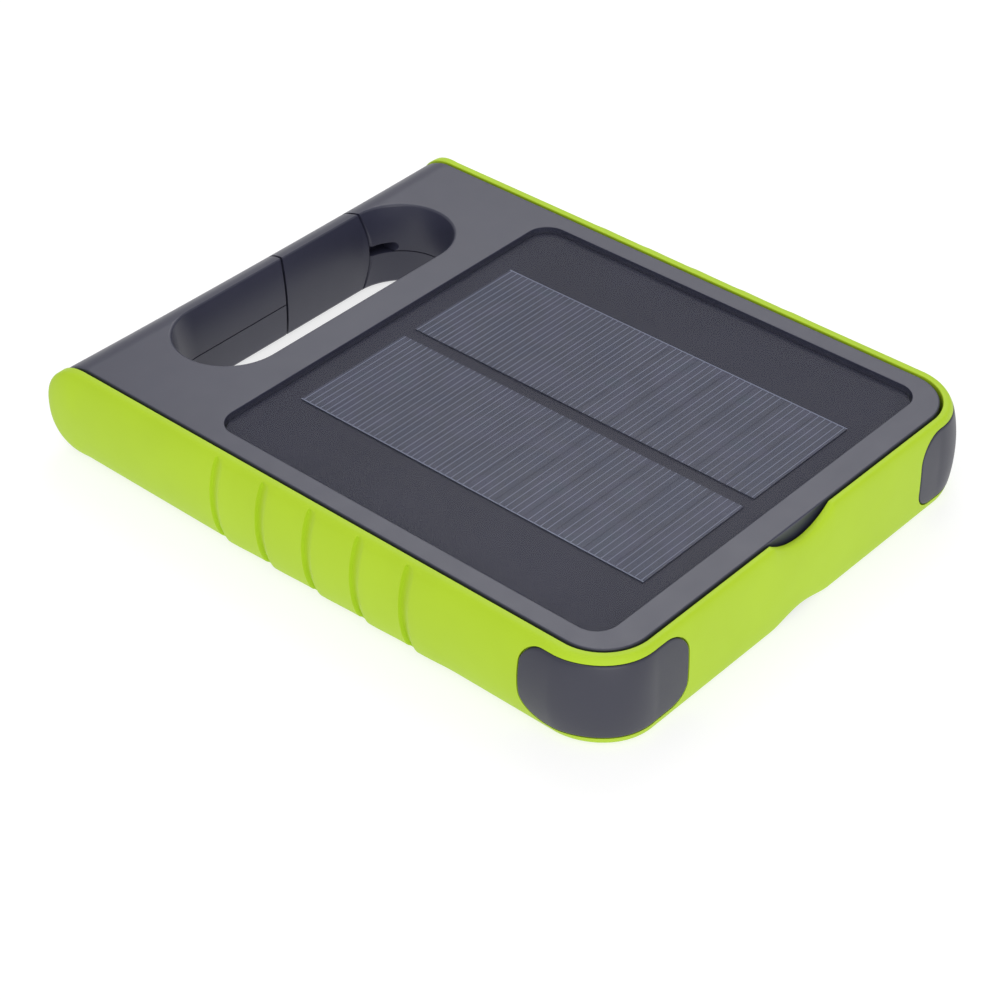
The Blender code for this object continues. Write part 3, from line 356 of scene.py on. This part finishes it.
SLOT_LOOKS = {
    "grey_casing": GREY,
    "green_frame": GREEN,
    "pad_rubber": PAD,
    "panel_board": PANEL_FILM,
    "solar_cell": CELL,
    "clear_cover": LENS,
    "circuit_board": RESIST,
    "chip_black": CHIP,
    "steel": STEEL,
    "battery_foil": FOIL,
    "foam": FOAM,
    "nylon": NYLON,
    "seal_rubber": SEAL,
    "led_white": LED,
    "red_wire": RED_WIRE,
    "black_wire": BLACK_WIRE,
    "phosphor_bronze": BRONZE,
}
NODE_LOOKS = {"boost_inductor": FERRITE, "power_button": BUTTON_RUBBER}


def finish_cad_nodes():
    slots = {item["node"]: item["material_slot"] for item in frame["record"]["subparts"]}
    for name, node in NODES.items():
        node.data.materials.clear()
        node.data.materials.append(NODE_LOOKS.get(name, SLOT_LOOKS[slots[name]]))


# ---------------------------------------------------------------- mesh helpers
def arc(centre_x, centre_y, radius, start, end, steps):
    """Points on an arc between two angles in degrees, both ends included."""
    turns = [math.radians(start + (end - start) * i / steps) for i in range(steps + 1)]
    return [(centre_x + radius * math.cos(a), centre_y + radius * math.sin(a)) for a in turns]


def rounded_rectangle(x0, x1, y0, y1, radius, steps=12):
    return (
        arc(x0 + radius, y0 + radius, radius, 180, 270, steps)
        + arc(x1 - radius, y0 + radius, radius, 270, 360, steps)
        + arc(x1 - radius, y1 - radius, radius, 0, 90, steps)
        + arc(x0 + radius, y1 - radius, radius, 90, 180, steps)
    )


def loft(bm, rings):
    """Joins closed rings of equally many points, and closes both ends."""
    made = [[bm.verts.new(point) for point in ring] for ring in rings]
    for lower, upper in zip(made, made[1:]):
        for i in range(len(lower)):
            j = (i + 1) % len(lower)
            bm.faces.new((lower[i], lower[j], upper[j], upper[i]))
    bm.faces.new(made[0][::-1])
    bm.faces.new(made[-1])


def add_prism(bm, outline, low, high):
    loft(bm, [[(x, y, z) for x, y in outline] for z in (low, high)])


def add_box(bm, low, high):
    outline = [(low[0], low[1]), (high[0], low[1]), (high[0], high[1]), (low[0], high[1])]
    add_prism(bm, outline, low[2], high[2])


def new_object(name, build):
    bm = bmesh.new()
    build(bm)
    bmesh.ops.recalc_face_normals(bm, faces=bm.faces)
    mesh = bpy.data.meshes.new(name)
    bm.to_mesh(mesh)
    bm.free()
    obj = bpy.data.objects.new(name, mesh)
    bpy.context.scene.collection.objects.link(obj)
    return obj


def cut(obj, *tools, operation="DIFFERENCE"):
    """Applies the booleans to the object's mesh and removes the tools."""
    for tool in tools:
        modifier = obj.modifiers.new(tool.name, "BOOLEAN")
        modifier.operation = operation
        modifier.solver = "EXACT"
        modifier.object = tool
    apply_modifiers(obj)
    for tool in tools:
        bpy.data.objects.remove(tool)


def apply_modifiers(obj):
    bpy.context.view_layer.update()
    evaluated = obj.evaluated_get(bpy.context.evaluated_depsgraph_get())
    mesh = bpy.data.meshes.new_from_object(evaluated)
    obj.modifiers.clear()
    obj.data = mesh


def finish_piece(obj, look, body, slot, *replaced, sharp=32):
    obj.data.materials.clear()
    obj.data.materials.append(look)
    obj.data.shade_smooth()
    obj.data.set_sharp_from_angle(angle=math.radians(sharp))
    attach(obj, body)
    if replaced:
        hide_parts(*replaced)
    return obj


def even_normals(obj):
    """Weights the shading by face area, so that flat faces stay flat beside their rounds."""
    modifier = obj.modifiers.new("even_normals", "WEIGHTED_NORMAL")
    modifier.keep_sharp = True
    modifier.weight = 80


def smooth_step(value):
    value = min(max(value, 0.0), 1.0)
    return value * value * (3 - 2 * value)


# ---------------------------------------------------------------- frame
def groove_offset(y):
    """The grip pattern on an arm: a crease, a ramp to a low hump, a slow fall to the next."""
    ahead = GROOVE_FIRST - y
    number = math.floor(ahead / GROOVE_PITCH)
    if number < 0 or number >= GROOVE_COUNT:
        return 0.0
    before = GROOVE_CREST if number > 0 else 0.0
    after = GROOVE_CREST if number < GROOVE_COUNT - 1 else 0.0
    along = ahead - number * GROOVE_PITCH
    fall = smooth_step(along / GROOVE_STEP)
    rise = smooth_step((along - GROOVE_STEP) / GROOVE_RAMP)
    hump_at = GROOVE_STEP + GROOVE_RAMP
    taper = smooth_step((along - hump_at) / (GROOVE_PITCH - hump_at))
    return (
        before
        - (before + GROOVE_DEPTH) * fall
        + (GROOVE_HUMP + GROOVE_DEPTH) * rise
        - (GROOVE_HUMP - after) * taper
    )


def corner_spot(share):
    """(x, y, outward x, outward y, profile) at a share of the left corner's turn."""
    angle = math.radians(180 + 90 * share)
    outward = (math.cos(angle), math.sin(angle))
    x = -FRAME_HALF + FRAME_CORNER + FRAME_CORNER * outward[0]
    y = FRAME_FRONT + FRAME_CORNER + FRAME_CORNER * outward[1]
    middle = math.sin(math.pi * share)
    profile = []
    for side, corner, front in zip(SIDE, CORNER, FRONT):
        value = side + (front - side) * smooth_step(share)
        profile.append(value + (corner - value) * middle)
    return (x, y, *outward, tuple(profile))


def arm_spot(y):
    return (-FRAME_HALF, y, -1.0, 0.0, SIDE)


def front_spot(x):
    return (x, FRAME_FRONT, 0.0, -1.0, FRONT)


def spread_evenly(start, end, steps):
    return [start + (end - start) * i / steps for i in range(steps + 1)]


def frame_spots():
    """Spots along the U, from the left cheek round the front to the right cheek."""
    corner_y = FRAME_FRONT + FRAME_CORNER
    last_line = GROOVE_FIRST - GROOVE_COUNT * GROOVE_PITCH
    marks = spread_evenly(CHEEK_Y, GROOVE_FIRST + MM, 14) + [GROOVE_FIRST + 0.1 * MM, GROOVE_FIRST]
    for number in range(GROOVE_COUNT):
        line = GROOVE_FIRST - number * GROOVE_PITCH
        end = line - GROOVE_STEP - GROOVE_RAMP
        marks += spread_evenly(line, line - GROOVE_STEP, 4)[1:]
        marks += spread_evenly(line - GROOVE_STEP, end, 12)[1:]
        marks += spread_evenly(end, line - GROOVE_PITCH, 7)[1:]
    marks += spread_evenly(last_line, corner_y, 8)[1:-1]
    left = [arm_spot(y) for y in marks]
    left += [corner_spot(share) for share in spread_evenly(0.0, 1.0, 30)]
    corner_x = -FRAME_HALF + FRAME_CORNER
    edge = -NOTCH_HALF - 0.6 * MM
    left += [front_spot(x) for x in spread_evenly(corner_x, edge, 12)[1:]]
    left += [front_spot(x) for x in spread_evenly(-NOTCH_HALF, 0.0, 26)]
    right = [(-x, y, -nx, ny, profile) for x, y, nx, ny, profile in reversed(left[:-1])]
    return left + right


def bar_depth(share, bulge, taper, fullness):
    """The bar's thickness at a share of the way from its mid height to its edge."""
    share = min(share, 1.0)
    return (bulge - taper * share**2) * (1 - share**fullness) ** (1 / fullness)


def notch_drop(x, y, above):
    """How far a finger notch lowers the front bar's edge: a round scoop above, a wave below."""
    if y > FRAME_FRONT + 0.5 * MM or abs(x) >= NOTCH_HALF:
        return 0.0
    if not above:
        return NOTCH_BOTTOM * (1 - (x / NOTCH_HALF) ** 2) ** 2
    radius = (NOTCH_HALF**2 + NOTCH_TOP**2) / (2 * NOTCH_TOP)
    return NOTCH_TOP - radius + math.sqrt(radius**2 - x**2)


def frame_depth(spot, share, turn):
    """Thickness at a spot; the turn is 90 over it, -90 below it and 0 at a cheek's end."""
    y, (bulge, taper, fullness) = spot[1], spot[4]
    end = abs(math.cos(turn))
    taper += (CHEEK_TAPER - SIDE[1]) * end
    fullness += (CHEEK_FULLNESS - SIDE[2]) * end
    if turn < 0:
        taper *= 1 + (LOWER_TAPER_SHARE - 1) * abs(math.sin(turn))
    depth = bar_depth(share, bulge, taper, fullness)
    gain = 1 + GROOVE_LOWER_GAIN * share * (turn < 0)
    depth += groove_offset(y) * gain * smooth_step((0.99 - share) / 0.09)
    return max(depth, LIP)


def frame_point(spot, share, turn, depth, drop):
    """A point of the bar: out by the depth, and up its height less the drop."""
    x, y, nx, ny = spot[:4]
    across, up = abs(math.cos(turn)), abs(math.sin(turn))
    reach = (across**CHEEK_PLAN_POWER + up**CHEEK_PLAN_POWER) ** (-1 / CHEEK_PLAN_POWER)
    notch = notch_drop(x, y, turn > 0)
    radius = (MID_Z - notch) * share * reach - drop
    return Vector(
        (
            x + nx * depth,
            y + ny * depth + radius * math.cos(turn),
            MID_Z + radius * math.sin(turn),
        )
    )


def frame_levels():
    """(share, depth or None for the bulged surface, drop) from mid height out and back in."""
    levels = []
    for i in range(1, 27):
        levels.append((math.sin(math.pi / 2 * i / 26), None, 0.0))
    for i in range(6):
        turn = math.pi / 2 * i / 5
        levels.append((1.0, LIP_ROUND * (1 - math.sin(turn)), LIP_ROUND * (1 - math.cos(turn))))
    for share in (0.8, 0.5, 0.25):
        levels.append((share, 0.0, 0.0))
    return levels


def frame_blank(bm):
    spots = frame_spots()
    cheek_turns = [math.radians(90 - 180 * i / 32) for i in range(1, 32)]
    over, under = math.pi / 2, -math.pi / 2

    def ring(level):
        share, depth, drop = level

        def vert(spot, turn):
            thick = frame_depth(spot, share, turn) if depth is None else depth
            return bm.verts.new(frame_point(spot, share, turn, thick, drop))

        top = [vert(spot, over) for spot in spots]
        right = [vert(spots[-1], turn) for turn in cheek_turns]
        low = [vert(spot, under) for spot in reversed(spots)]
        left = [vert(spots[0], turn) for turn in reversed(cheek_turns)]
        return top + right + low + left

    def spine(depth):
        """The row of points at mid height, once for the top and once for the underside."""
        row = []
        for spot in spots:
            thick = frame_depth(spot, 0.0, over) if depth is None else depth
            row.append(bm.verts.new(frame_point(spot, 0.0, over, thick, 0.0)))
        caps = len(cheek_turns)
        return row + [row[-1]] * caps + row[::-1] + [row[0]] * caps

    rings = [spine(None)] + [ring(level) for level in frame_levels()] + [spine(0.0)]
    for lower, upper in zip(rings, rings[1:]):
        for i in range(len(lower)):
            j = (i + 1) % len(lower)
            corners = []
            for vert in (lower[i], lower[j], upper[j], upper[i]):
                if vert not in corners:
                    corners.append(vert)
            bm.faces.new(corners)


def pad_spots(front_x, extra):
    """Spots round the left front corner, with their distances from the pad's two ends."""
    corner_y = FRAME_FRONT + FRAME_CORNER
    side_length = PAD_BACK + extra - corner_y
    quarter = FRAME_CORNER * math.pi / 2
    front_length = FRAME_HALF - FRAME_CORNER - front_x + extra
    length = side_length + quarter + front_length
    bend = PAD_ROUND_WIDE
    near = [bend * (1 - math.cos(math.pi / 2 * i / 18)) for i in range(19)]
    marks = near + spread_evenly(bend, length - bend, 34)[1:-1]
    marks += [length - distance for distance in reversed(near)]
    made = []
    for distance in marks:
        along = distance - side_length
        if along <= 0:
            spot = arm_spot(corner_y - along)
        elif along <= quarter:
            spot = corner_spot(along / quarter)
        else:
            spot = front_spot(-FRAME_HALF + FRAME_CORNER + along - quarter)
        made.append((spot, distance, length - distance))
    return made


def corner_bend(radius, from_end):
    """How far a rounded corner bends an edge in, at this distance from the end."""
    reach = max(radius - from_end, 0.0)
    return radius - math.sqrt(max(radius**2 - reach**2, 0.0))


def pad_shape(bm, side, extra, below, above, rim):
    """A wrapped pad between two depths of the frame's surface; the rim rounds its edge."""
    rings = []
    for spot, from_rear, from_front in pad_spots(PAD_FRONT[side], extra):
        x, y, nx, ny, (bulge, taper, fullness) = spot
        from_end = min(from_rear, from_front)
        narrow = [corner_bend(PAD_ROUND, distance) for distance in (from_rear, from_front)]
        wide = [corner_bend(PAD_ROUND_WIDE, distance) for distance in (from_rear, from_front)]
        low = PAD_LOW - extra + max(wide[0], narrow[1])
        high = PAD_HIGH + extra - max(narrow[0], wide[1])
        half = (high - low) / 2
        shares = [math.sin(math.pi / 2 * i / 12) for i in range(-12, 13)]
        ring = []
        for surface, order in ((above, shares), (-below, shares[::-1])):
            for share in order:
                z = (low + high) / 2 + half * share
                taper_here = taper * (LOWER_TAPER_SHARE if z < MID_Z else 1.0)
                depth = bar_depth(abs(z / MID_Z - 1), bulge, taper_here, fullness) + surface
                to_edge = min(half * (1 - abs(share)), from_end)
                if surface == above and to_edge < rim:
                    depth -= rim - math.sqrt(rim**2 - (rim - to_edge) ** 2)
                ring.append((-side * (x + nx * depth), y + ny * depth, z))
        rings.append(ring)
    loft(bm, rings)


def make_frame():
    body = new_object("frame_body", frame_blank)
    for side in (-1, 1):
        pocket = new_object(
            "pad_pocket",
            lambda bm: pad_shape(bm, side, PAD_SEAM, PAD_THICK + PAD_SEAM, 2 * MM, 0.0),
        )
        cut(body, pocket)
    finish_piece(body, GREEN, "frame", "green_frame", "frame", sharp=40)
    for side, word in ((-1, "left"), (1, "right")):
        pad = new_object(
            f"grip_pad_{word}",
            lambda bm: pad_shape(bm, side, 0.0, PAD_THICK, 0.05 * MM, 0.35 * MM),
        )
        finish_piece(pad, PAD, "frame", "pad_rubber", f"corner_pad_{word}", sharp=60)


# ---------------------------------------------------------------- casing
def core_levels():
    turns = [3 * i for i in range(12)] + [38, 44, 51, 58, 66, 74, 82]
    half = [MID_Z * (1 - math.cos(math.radians(turn))) for turn in turns]
    return half + [MID_Z] + [HEIGHT - z for z in reversed(half)]


def core_outline(z):
    depth = min(z, HEIGHT - z)
    pull = 0.0
    if depth < CORE_EDGE:
        pull = CORE_EDGE - math.sqrt(CORE_EDGE**2 - (CORE_EDGE - depth) ** 2)
    half = CORE_HALF - pull
    front = CORE_FRONT + pull
    radius = CORE_CORNER - pull
    back = PIVOT.y + math.sqrt(max(MID_Z**2 - (z - MID_Z) ** 2, 0.0))
    bow = [(1 - 2 * i / 24) for i in range(1, 24)]
    return (
        arc(-half + radius, front + radius, radius, 180, 270, 18)
        + arc(half - radius, front + radius, radius, 270, 360, 18)
        + arc(half - BACK_CHAMFER, back - BACK_CHAMFER, BACK_CHAMFER, 0, 90, 5)
        + [(half * t, back - BACK_BOW * (1 - t * t)) for t in bow]
        + arc(-half + BACK_CHAMFER, back - BACK_CHAMFER, BACK_CHAMFER, 90, 180, 5)
    )


def core_blank(bm):
    loft(bm, [[(x, y, z) for x, y in core_outline(z)] for z in core_levels()])


def stadium(inset, steps=36):
    """Plan of the hand opening, with its wall moved in by the inset."""
    middle = OPENING_HALF - OPENING_RADIUS
    radius = OPENING_RADIUS - inset
    return arc(middle, OPENING_Y, radius, -90, 90, steps) + arc(
        -middle, OPENING_Y, radius, 90, 270, steps
    )


def opening_shape(bm):
    """The hand opening: its wall bulges in at mid height and rounds out into both faces."""
    levels = []
    for radius, face in ((OPENING_ROUND_LOW, 0.0), (OPENING_ROUND_HIGH, HEIGHT)):
        for i in range(7):
            turn = math.pi / 2 * i / 6
            off_face = radius * (1 - math.sin(turn))
            levels.append((abs(face - off_face), radius * (1 - math.cos(turn))))
    for i in range(1, 12):
        levels.append((OPENING_ROUND_LOW + (HEIGHT - 2 * OPENING_ROUND_LOW) * i / 12, 0.0))
    rings = []
    for z, flare in sorted(levels):
        inset = OPENING_BULGE * (1 - (z / MID_Z - 1) ** 2) - flare
        rings.append([(x, y, z) for x, y in stadium(inset)])
    bottom = [(x, y, -MM) for x, y, _ in rings[0]]
    top = [(x, y, HEIGHT + MM) for x, y, _ in rings[-1]]
    loft(bm, [bottom, *rings, top])


def gate_plan(clearance, z):
    """Plan of the snap gate at this height, grown by the clearance."""
    low, high = 70 * MM, 100 * MM
    off_middle = min(abs(z / MID_Z - 1), 1.0)
    radius = GATE_RADIUS - GATE_END_BULGE * (1 - off_middle**2) - clearance
    slope = (GATE_TIP[1] - GATE_TIP[0]) / (GATE_TIP_Y[1] - GATE_TIP_Y[0])
    tip_low = GATE_TIP[0] + slope * (low - GATE_TIP_Y[0]) - clearance
    tip_high = GATE_TIP[0] + slope * (high - GATE_TIP_Y[0]) - clearance
    hinge = arc(GATE_PIN.x, GATE_PIN.y, radius, 250, 180, 24)
    return [(tip_low, low), (hinge[0][0], low)] + hinge + [(hinge[-1][0], high), (tip_high, high)]


def gate_block(bm, clearance):
    heights = [-MM, *(HEIGHT * i / 16 for i in range(17)), HEIGHT + MM]
    loft(bm, [[(x, y, z) for x, y in gate_plan(clearance, z)] for z in heights])


def panel_recess(bm):
    """The panel's recess, whose rim is rounded, and the pocket below it."""
    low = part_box("panel_board")[0].z - 0.3 * MM
    levels = [(low, 0.0)]
    for i in range(7):
        turn = math.pi / 2 * i / 6
        drop = RECESS_ROUND * (1 - math.sin(turn))
        levels.append((HEIGHT - drop, RECESS_ROUND * (1 - math.cos(turn))))
    levels.append((HEIGHT + MM, RECESS_ROUND))
    rings = []
    for z, grow in levels:
        outline = rounded_rectangle(
            COVER_LOW.x - PANEL_MARGIN - grow,
            COVER_HIGH.x + PANEL_MARGIN + grow,
            COVER_LOW.y - PANEL_MARGIN - grow,
            COVER_HIGH.y + PANEL_MARGIN + grow,
            PANEL_CORNER + grow,
        )
        rings.append([(x, y, z) for x, y in outline])
    loft(bm, rings)


def bay(bm):
    edge = CORE_HALF - WALL
    outline = rounded_rectangle(-edge, edge, CORE_FRONT + WALL, BAY_BACK, CORE_CORNER - WALL, 8)
    add_prism(bm, outline, BAY_LOW, BAY_HIGH)


def pivot_bores(bm):
    for side in (-1, 1):
        rings = []
        for x in (50 * MM, 70 * MM):
            circle = arc(PIVOT.y, MID_Z, PIVOT_BORE_RADIUS, 0, 352.5, 47)
            rings.append([(side * x, y, z) for y, z in circle])
        loft(bm, rings)


def slot_mouth(bm):
    """The slot's mouth in the opening's wall, with its right end round."""
    turns = arc(SLOT_END_X - SLOT_HALF_HIGH, MID_Z, SLOT_HALF_HIGH, -90, 90, 16)
    outline = [
        (SLOT_START_X, MID_Z - SLOT_HALF_HIGH),
        *turns,
        (SLOT_START_X, MID_Z + SLOT_HALF_HIGH),
    ]
    loft(bm, [[(x, y, z) for x, z in outline] for y in (74 * MM, 82.5 * MM)])


def slot_room(bm):
    """The round space behind the mouth, where the gate's tongue turns on its pin."""
    outline = (
        [(SLOT_START_X, SLOT_ROOM_Y), (38 * MM, SLOT_ROOM_Y)]
        + arc(GATE_PIN.x, GATE_PIN.y, SLOT_ROOM_REACH, -50, 90, 20)
        + [(SLOT_START_X, GATE_PIN.y + SLOT_ROOM_REACH)]
    )
    add_prism(bm, outline, MID_Z - SLOT_HALF_HIGH, MID_Z + SLOT_HALF_HIGH)


def keep_half(name, low, high):
    return new_object(name, lambda bm: add_box(bm, (-0.1, -0.12, low), (0.1, 0.12, high)))


def front_windows(bm):
    """Openings in the front wall, each round the piece that shows in it."""
    near, far = CORE_FRONT - MM, CORE_FRONT + WALL + 0.5 * MM
    margin = WINDOW_MARGIN
    for node in ("usb_a_port", "micro_usb_port", "indicator_lens"):
        low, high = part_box(node)
        add_box(
            bm, (low.x - margin, near, low.z - margin), (high.x + margin, far, high.z + margin)
        )
    low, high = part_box("power_button")
    inset = BUTTON_FLANGE - margin
    add_box(bm, (low.x + inset, near, low.z + inset), (high.x - inset, far, high.z - inset))


def screw_recesses(bm):
    for number in range(1, 7):
        low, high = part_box(f"case_screw_{number}")
        x, y = (low.x + high.x) / 2, (low.y + high.y) / 2
        circle = arc(x, y, SCREW_RECESS_RADIUS, 0, 352.5, 47)
        add_prism(bm, circle, -MM, SCREW_RECESS_DEPTH)


def make_casing():
    for name, low, high, node in (
        ("upper_casing", SPLIT_Z + SPLIT_GAP, 0.05, "top_shell"),
        ("lower_casing", -0.05, SPLIT_Z - SPLIT_GAP, "bottom_shell"),
    ):
        shell = new_object(name, core_blank)
        cut(shell, keep_half("keep", low, high), operation="INTERSECT")
        cut(shell, new_object("opening", opening_shape))
        cut(shell, new_object("gate_space", lambda bm: gate_block(bm, GATE_CLEARANCE)))
        cut(shell, new_object("bay", bay))
        cut(shell, new_object("pivot_bores", pivot_bores))
        cut(shell, new_object("slot_mouth", slot_mouth))
        cut(shell, new_object("slot_room", slot_room))
        if node == "top_shell":
            cut(shell, new_object("recess", panel_recess))
        else:
            cut(shell, new_object("front_windows", front_windows))
            cut(shell, new_object("screw_recesses", screw_recesses))
        finish_piece(shell, GREY, "casing", "grey_casing", node, sharp=28)
        even_normals(shell)


def gate_tongue(bm):
    """The gate's thin tongue, which turns on the pin inside the slot."""
    near, far = GATE_PIN.y - TONGUE_HALF_WIDE, GATE_PIN.y + TONGUE_HALF_WIDE
    outline = (
        [(TONGUE_START_X, near), (GATE_PIN.x, near)]
        + arc(GATE_PIN.x, GATE_PIN.y, TONGUE_RADIUS, -50, 50, 16)
        + [(GATE_PIN.x, far), (TONGUE_START_X, far)]
    )
    add_prism(bm, outline, MID_Z - TONGUE_HALF_THICK, MID_Z + TONGUE_HALF_THICK)


def make_gate():
    gate = new_object("snap_gate", core_blank)
    cut(gate, new_object("opening", opening_shape))
    cut(gate, new_object("gate_block", lambda bm: gate_block(bm, 0.0)), operation="INTERSECT")
    cut(gate, new_object("tongue", gate_tongue), operation="UNION")
    finish_piece(gate, GREY, "gate", "grey_casing", "gate", sharp=28)
    even_normals(gate)


# ---------------------------------------------------------------- panel
def make_panel():
    cover = new_object("panel_window", cover_sheet)
    finish_piece(cover, COVER, "casing", "clear_cover", "panel_cover")
    low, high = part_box("panel_board")
    board = new_object(
        "panel_backing",
        lambda bm: add_prism(
            bm, rounded_rectangle(low.x, high.x, low.y, high.y, PANEL_CORNER), low.z, high.z
        ),
    )
    finish_piece(board, PANEL_FILM, "casing", "panel_board", "panel_board")
    for side, word in ((-1, "left"), (1, "right")):
        make_cells(side, word)


def cover_sheet(bm):
    edge = 0.25 * MM
    rings = []
    for z, inset in (
        (COVER_LOW.z, 0.0),
        (COVER_HIGH.z - edge, 0.0),
        (COVER_HIGH.z - edge * 0.3, edge * 0.3),
        (COVER_HIGH.z, edge),
    ):
        outline = rounded_rectangle(
            COVER_LOW.x + inset - 0.3 * MM,
            COVER_HIGH.x - inset + 0.3 * MM,
            COVER_LOW.y + inset - 0.3 * MM,
            COVER_HIGH.y - inset + 0.3 * MM,
            PANEL_CORNER - inset,
        )
        rings.append([(x, y, z) for x, y in outline])
    loft(bm, rings)


def make_cells(side, word):
    low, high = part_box(f"solar_cells_{word}")
    pitch = (high.y - low.y) / CELL_STRIPS
    top = high.z

    def strips(bm):
        for number in range(CELL_STRIPS):
            start = low.y + pitch * number
            end = start + pitch - STRIP_GAP
            add_box(bm, (low.x, start + STRIP_GAP, low.z), (high.x, end, top))

    def fingers(bm):
        face = top + PRINT_THICK
        for number in range(CELL_STRIPS):
            middle = low.y + pitch * (number + 0.5)
            count = 5 if number == 0 or number >= CELL_STRIPS / 2 else 4
            for i in range(count):
                y = middle + FINGER_PITCH * (i - (count - 1) / 2)
                add_box(bm, (low.x, y - FINGER_HALF, top), (high.x, y + FINGER_HALF, face))
        start = low.x if side < 0 else high.x - BUSBAR_WIDE
        add_box(bm, (start, low.y, top), (start + BUSBAR_WIDE, high.y, face))

    cells = new_object(f"cell_strips_{word}", strips)
    finish_piece(cells, CELL, "casing", "solar_cell", f"solar_cells_{word}")
    lines = new_object(f"cell_fingers_{word}", fingers)
    finish_piece(lines, SILVER_INK, "casing", "solar_cell")


# ---------------------------------------------------------------- stage, light and camera
def make_stage():
    floor = new_object("floor", lambda bm: bmesh.ops.create_grid(bm, size=3.0))
    floor.location.z = CAD_BOX[0].z - 0.2 * MM
    look = Look("floor_white", 0.9, Emission_Strength=0.7)
    look.shader.inputs["Base Color"].default_value = (0.35, 0.35, 0.35, 1.0)
    look.shader.inputs["Emission Color"].default_value = (1.0, 1.0, 1.0, 1.0)
    floor.data.materials.append(look.material)


def make_lights():
    world = bpy.data.worlds.new("studio")
    bpy.context.scene.world = world
    world.use_nodes = True
    background = world.node_tree.nodes["Background"]
    background.inputs["Color"].default_value = (1.0, 1.0, 1.0, 1.0)
    background.inputs["Strength"].default_value = 0.6
    for name, place, size, power in (
        ("key", (0.8, 0.6, 1.15), 0.8, 6.0),
        ("fill", (-0.9, -1.1, 0.35), 1.0, 7.0),
        ("overhead", (-0.4, -0.2, 1.3), 1.0, 4.0),
    ):
        light = bpy.data.lights.new(name, "AREA")
        light.size = size
        light.energy = power
        lamp = bpy.data.objects.new(name, light)
        bpy.context.scene.collection.objects.link(lamp)
        lamp.location = place
        lamp.rotation_euler = (-Vector(place)).to_track_quat("-Z", "Y").to_euler()


def make_camera():
    data = bpy.data.cameras.new("camera")
    data.sensor_width = 36.0
    data.lens = 95.81
    data.clip_start, data.clip_end = 0.01, 20.0
    camera = bpy.data.objects.new("camera", data)
    camera.location = (-0.391585, -0.357985, 0.394785)
    camera.rotation_euler = [math.radians(v) for v in (52.4845, 0.9616, -47.9615)]
    bpy.context.scene.collection.objects.link(camera)
    bpy.context.scene.camera = camera


finish_cad_nodes()
make_frame()
make_casing()
make_gate()
make_panel()
make_stage()
make_lights()
make_camera()
bpy.context.scene.view_settings.view_transform = "Standard"
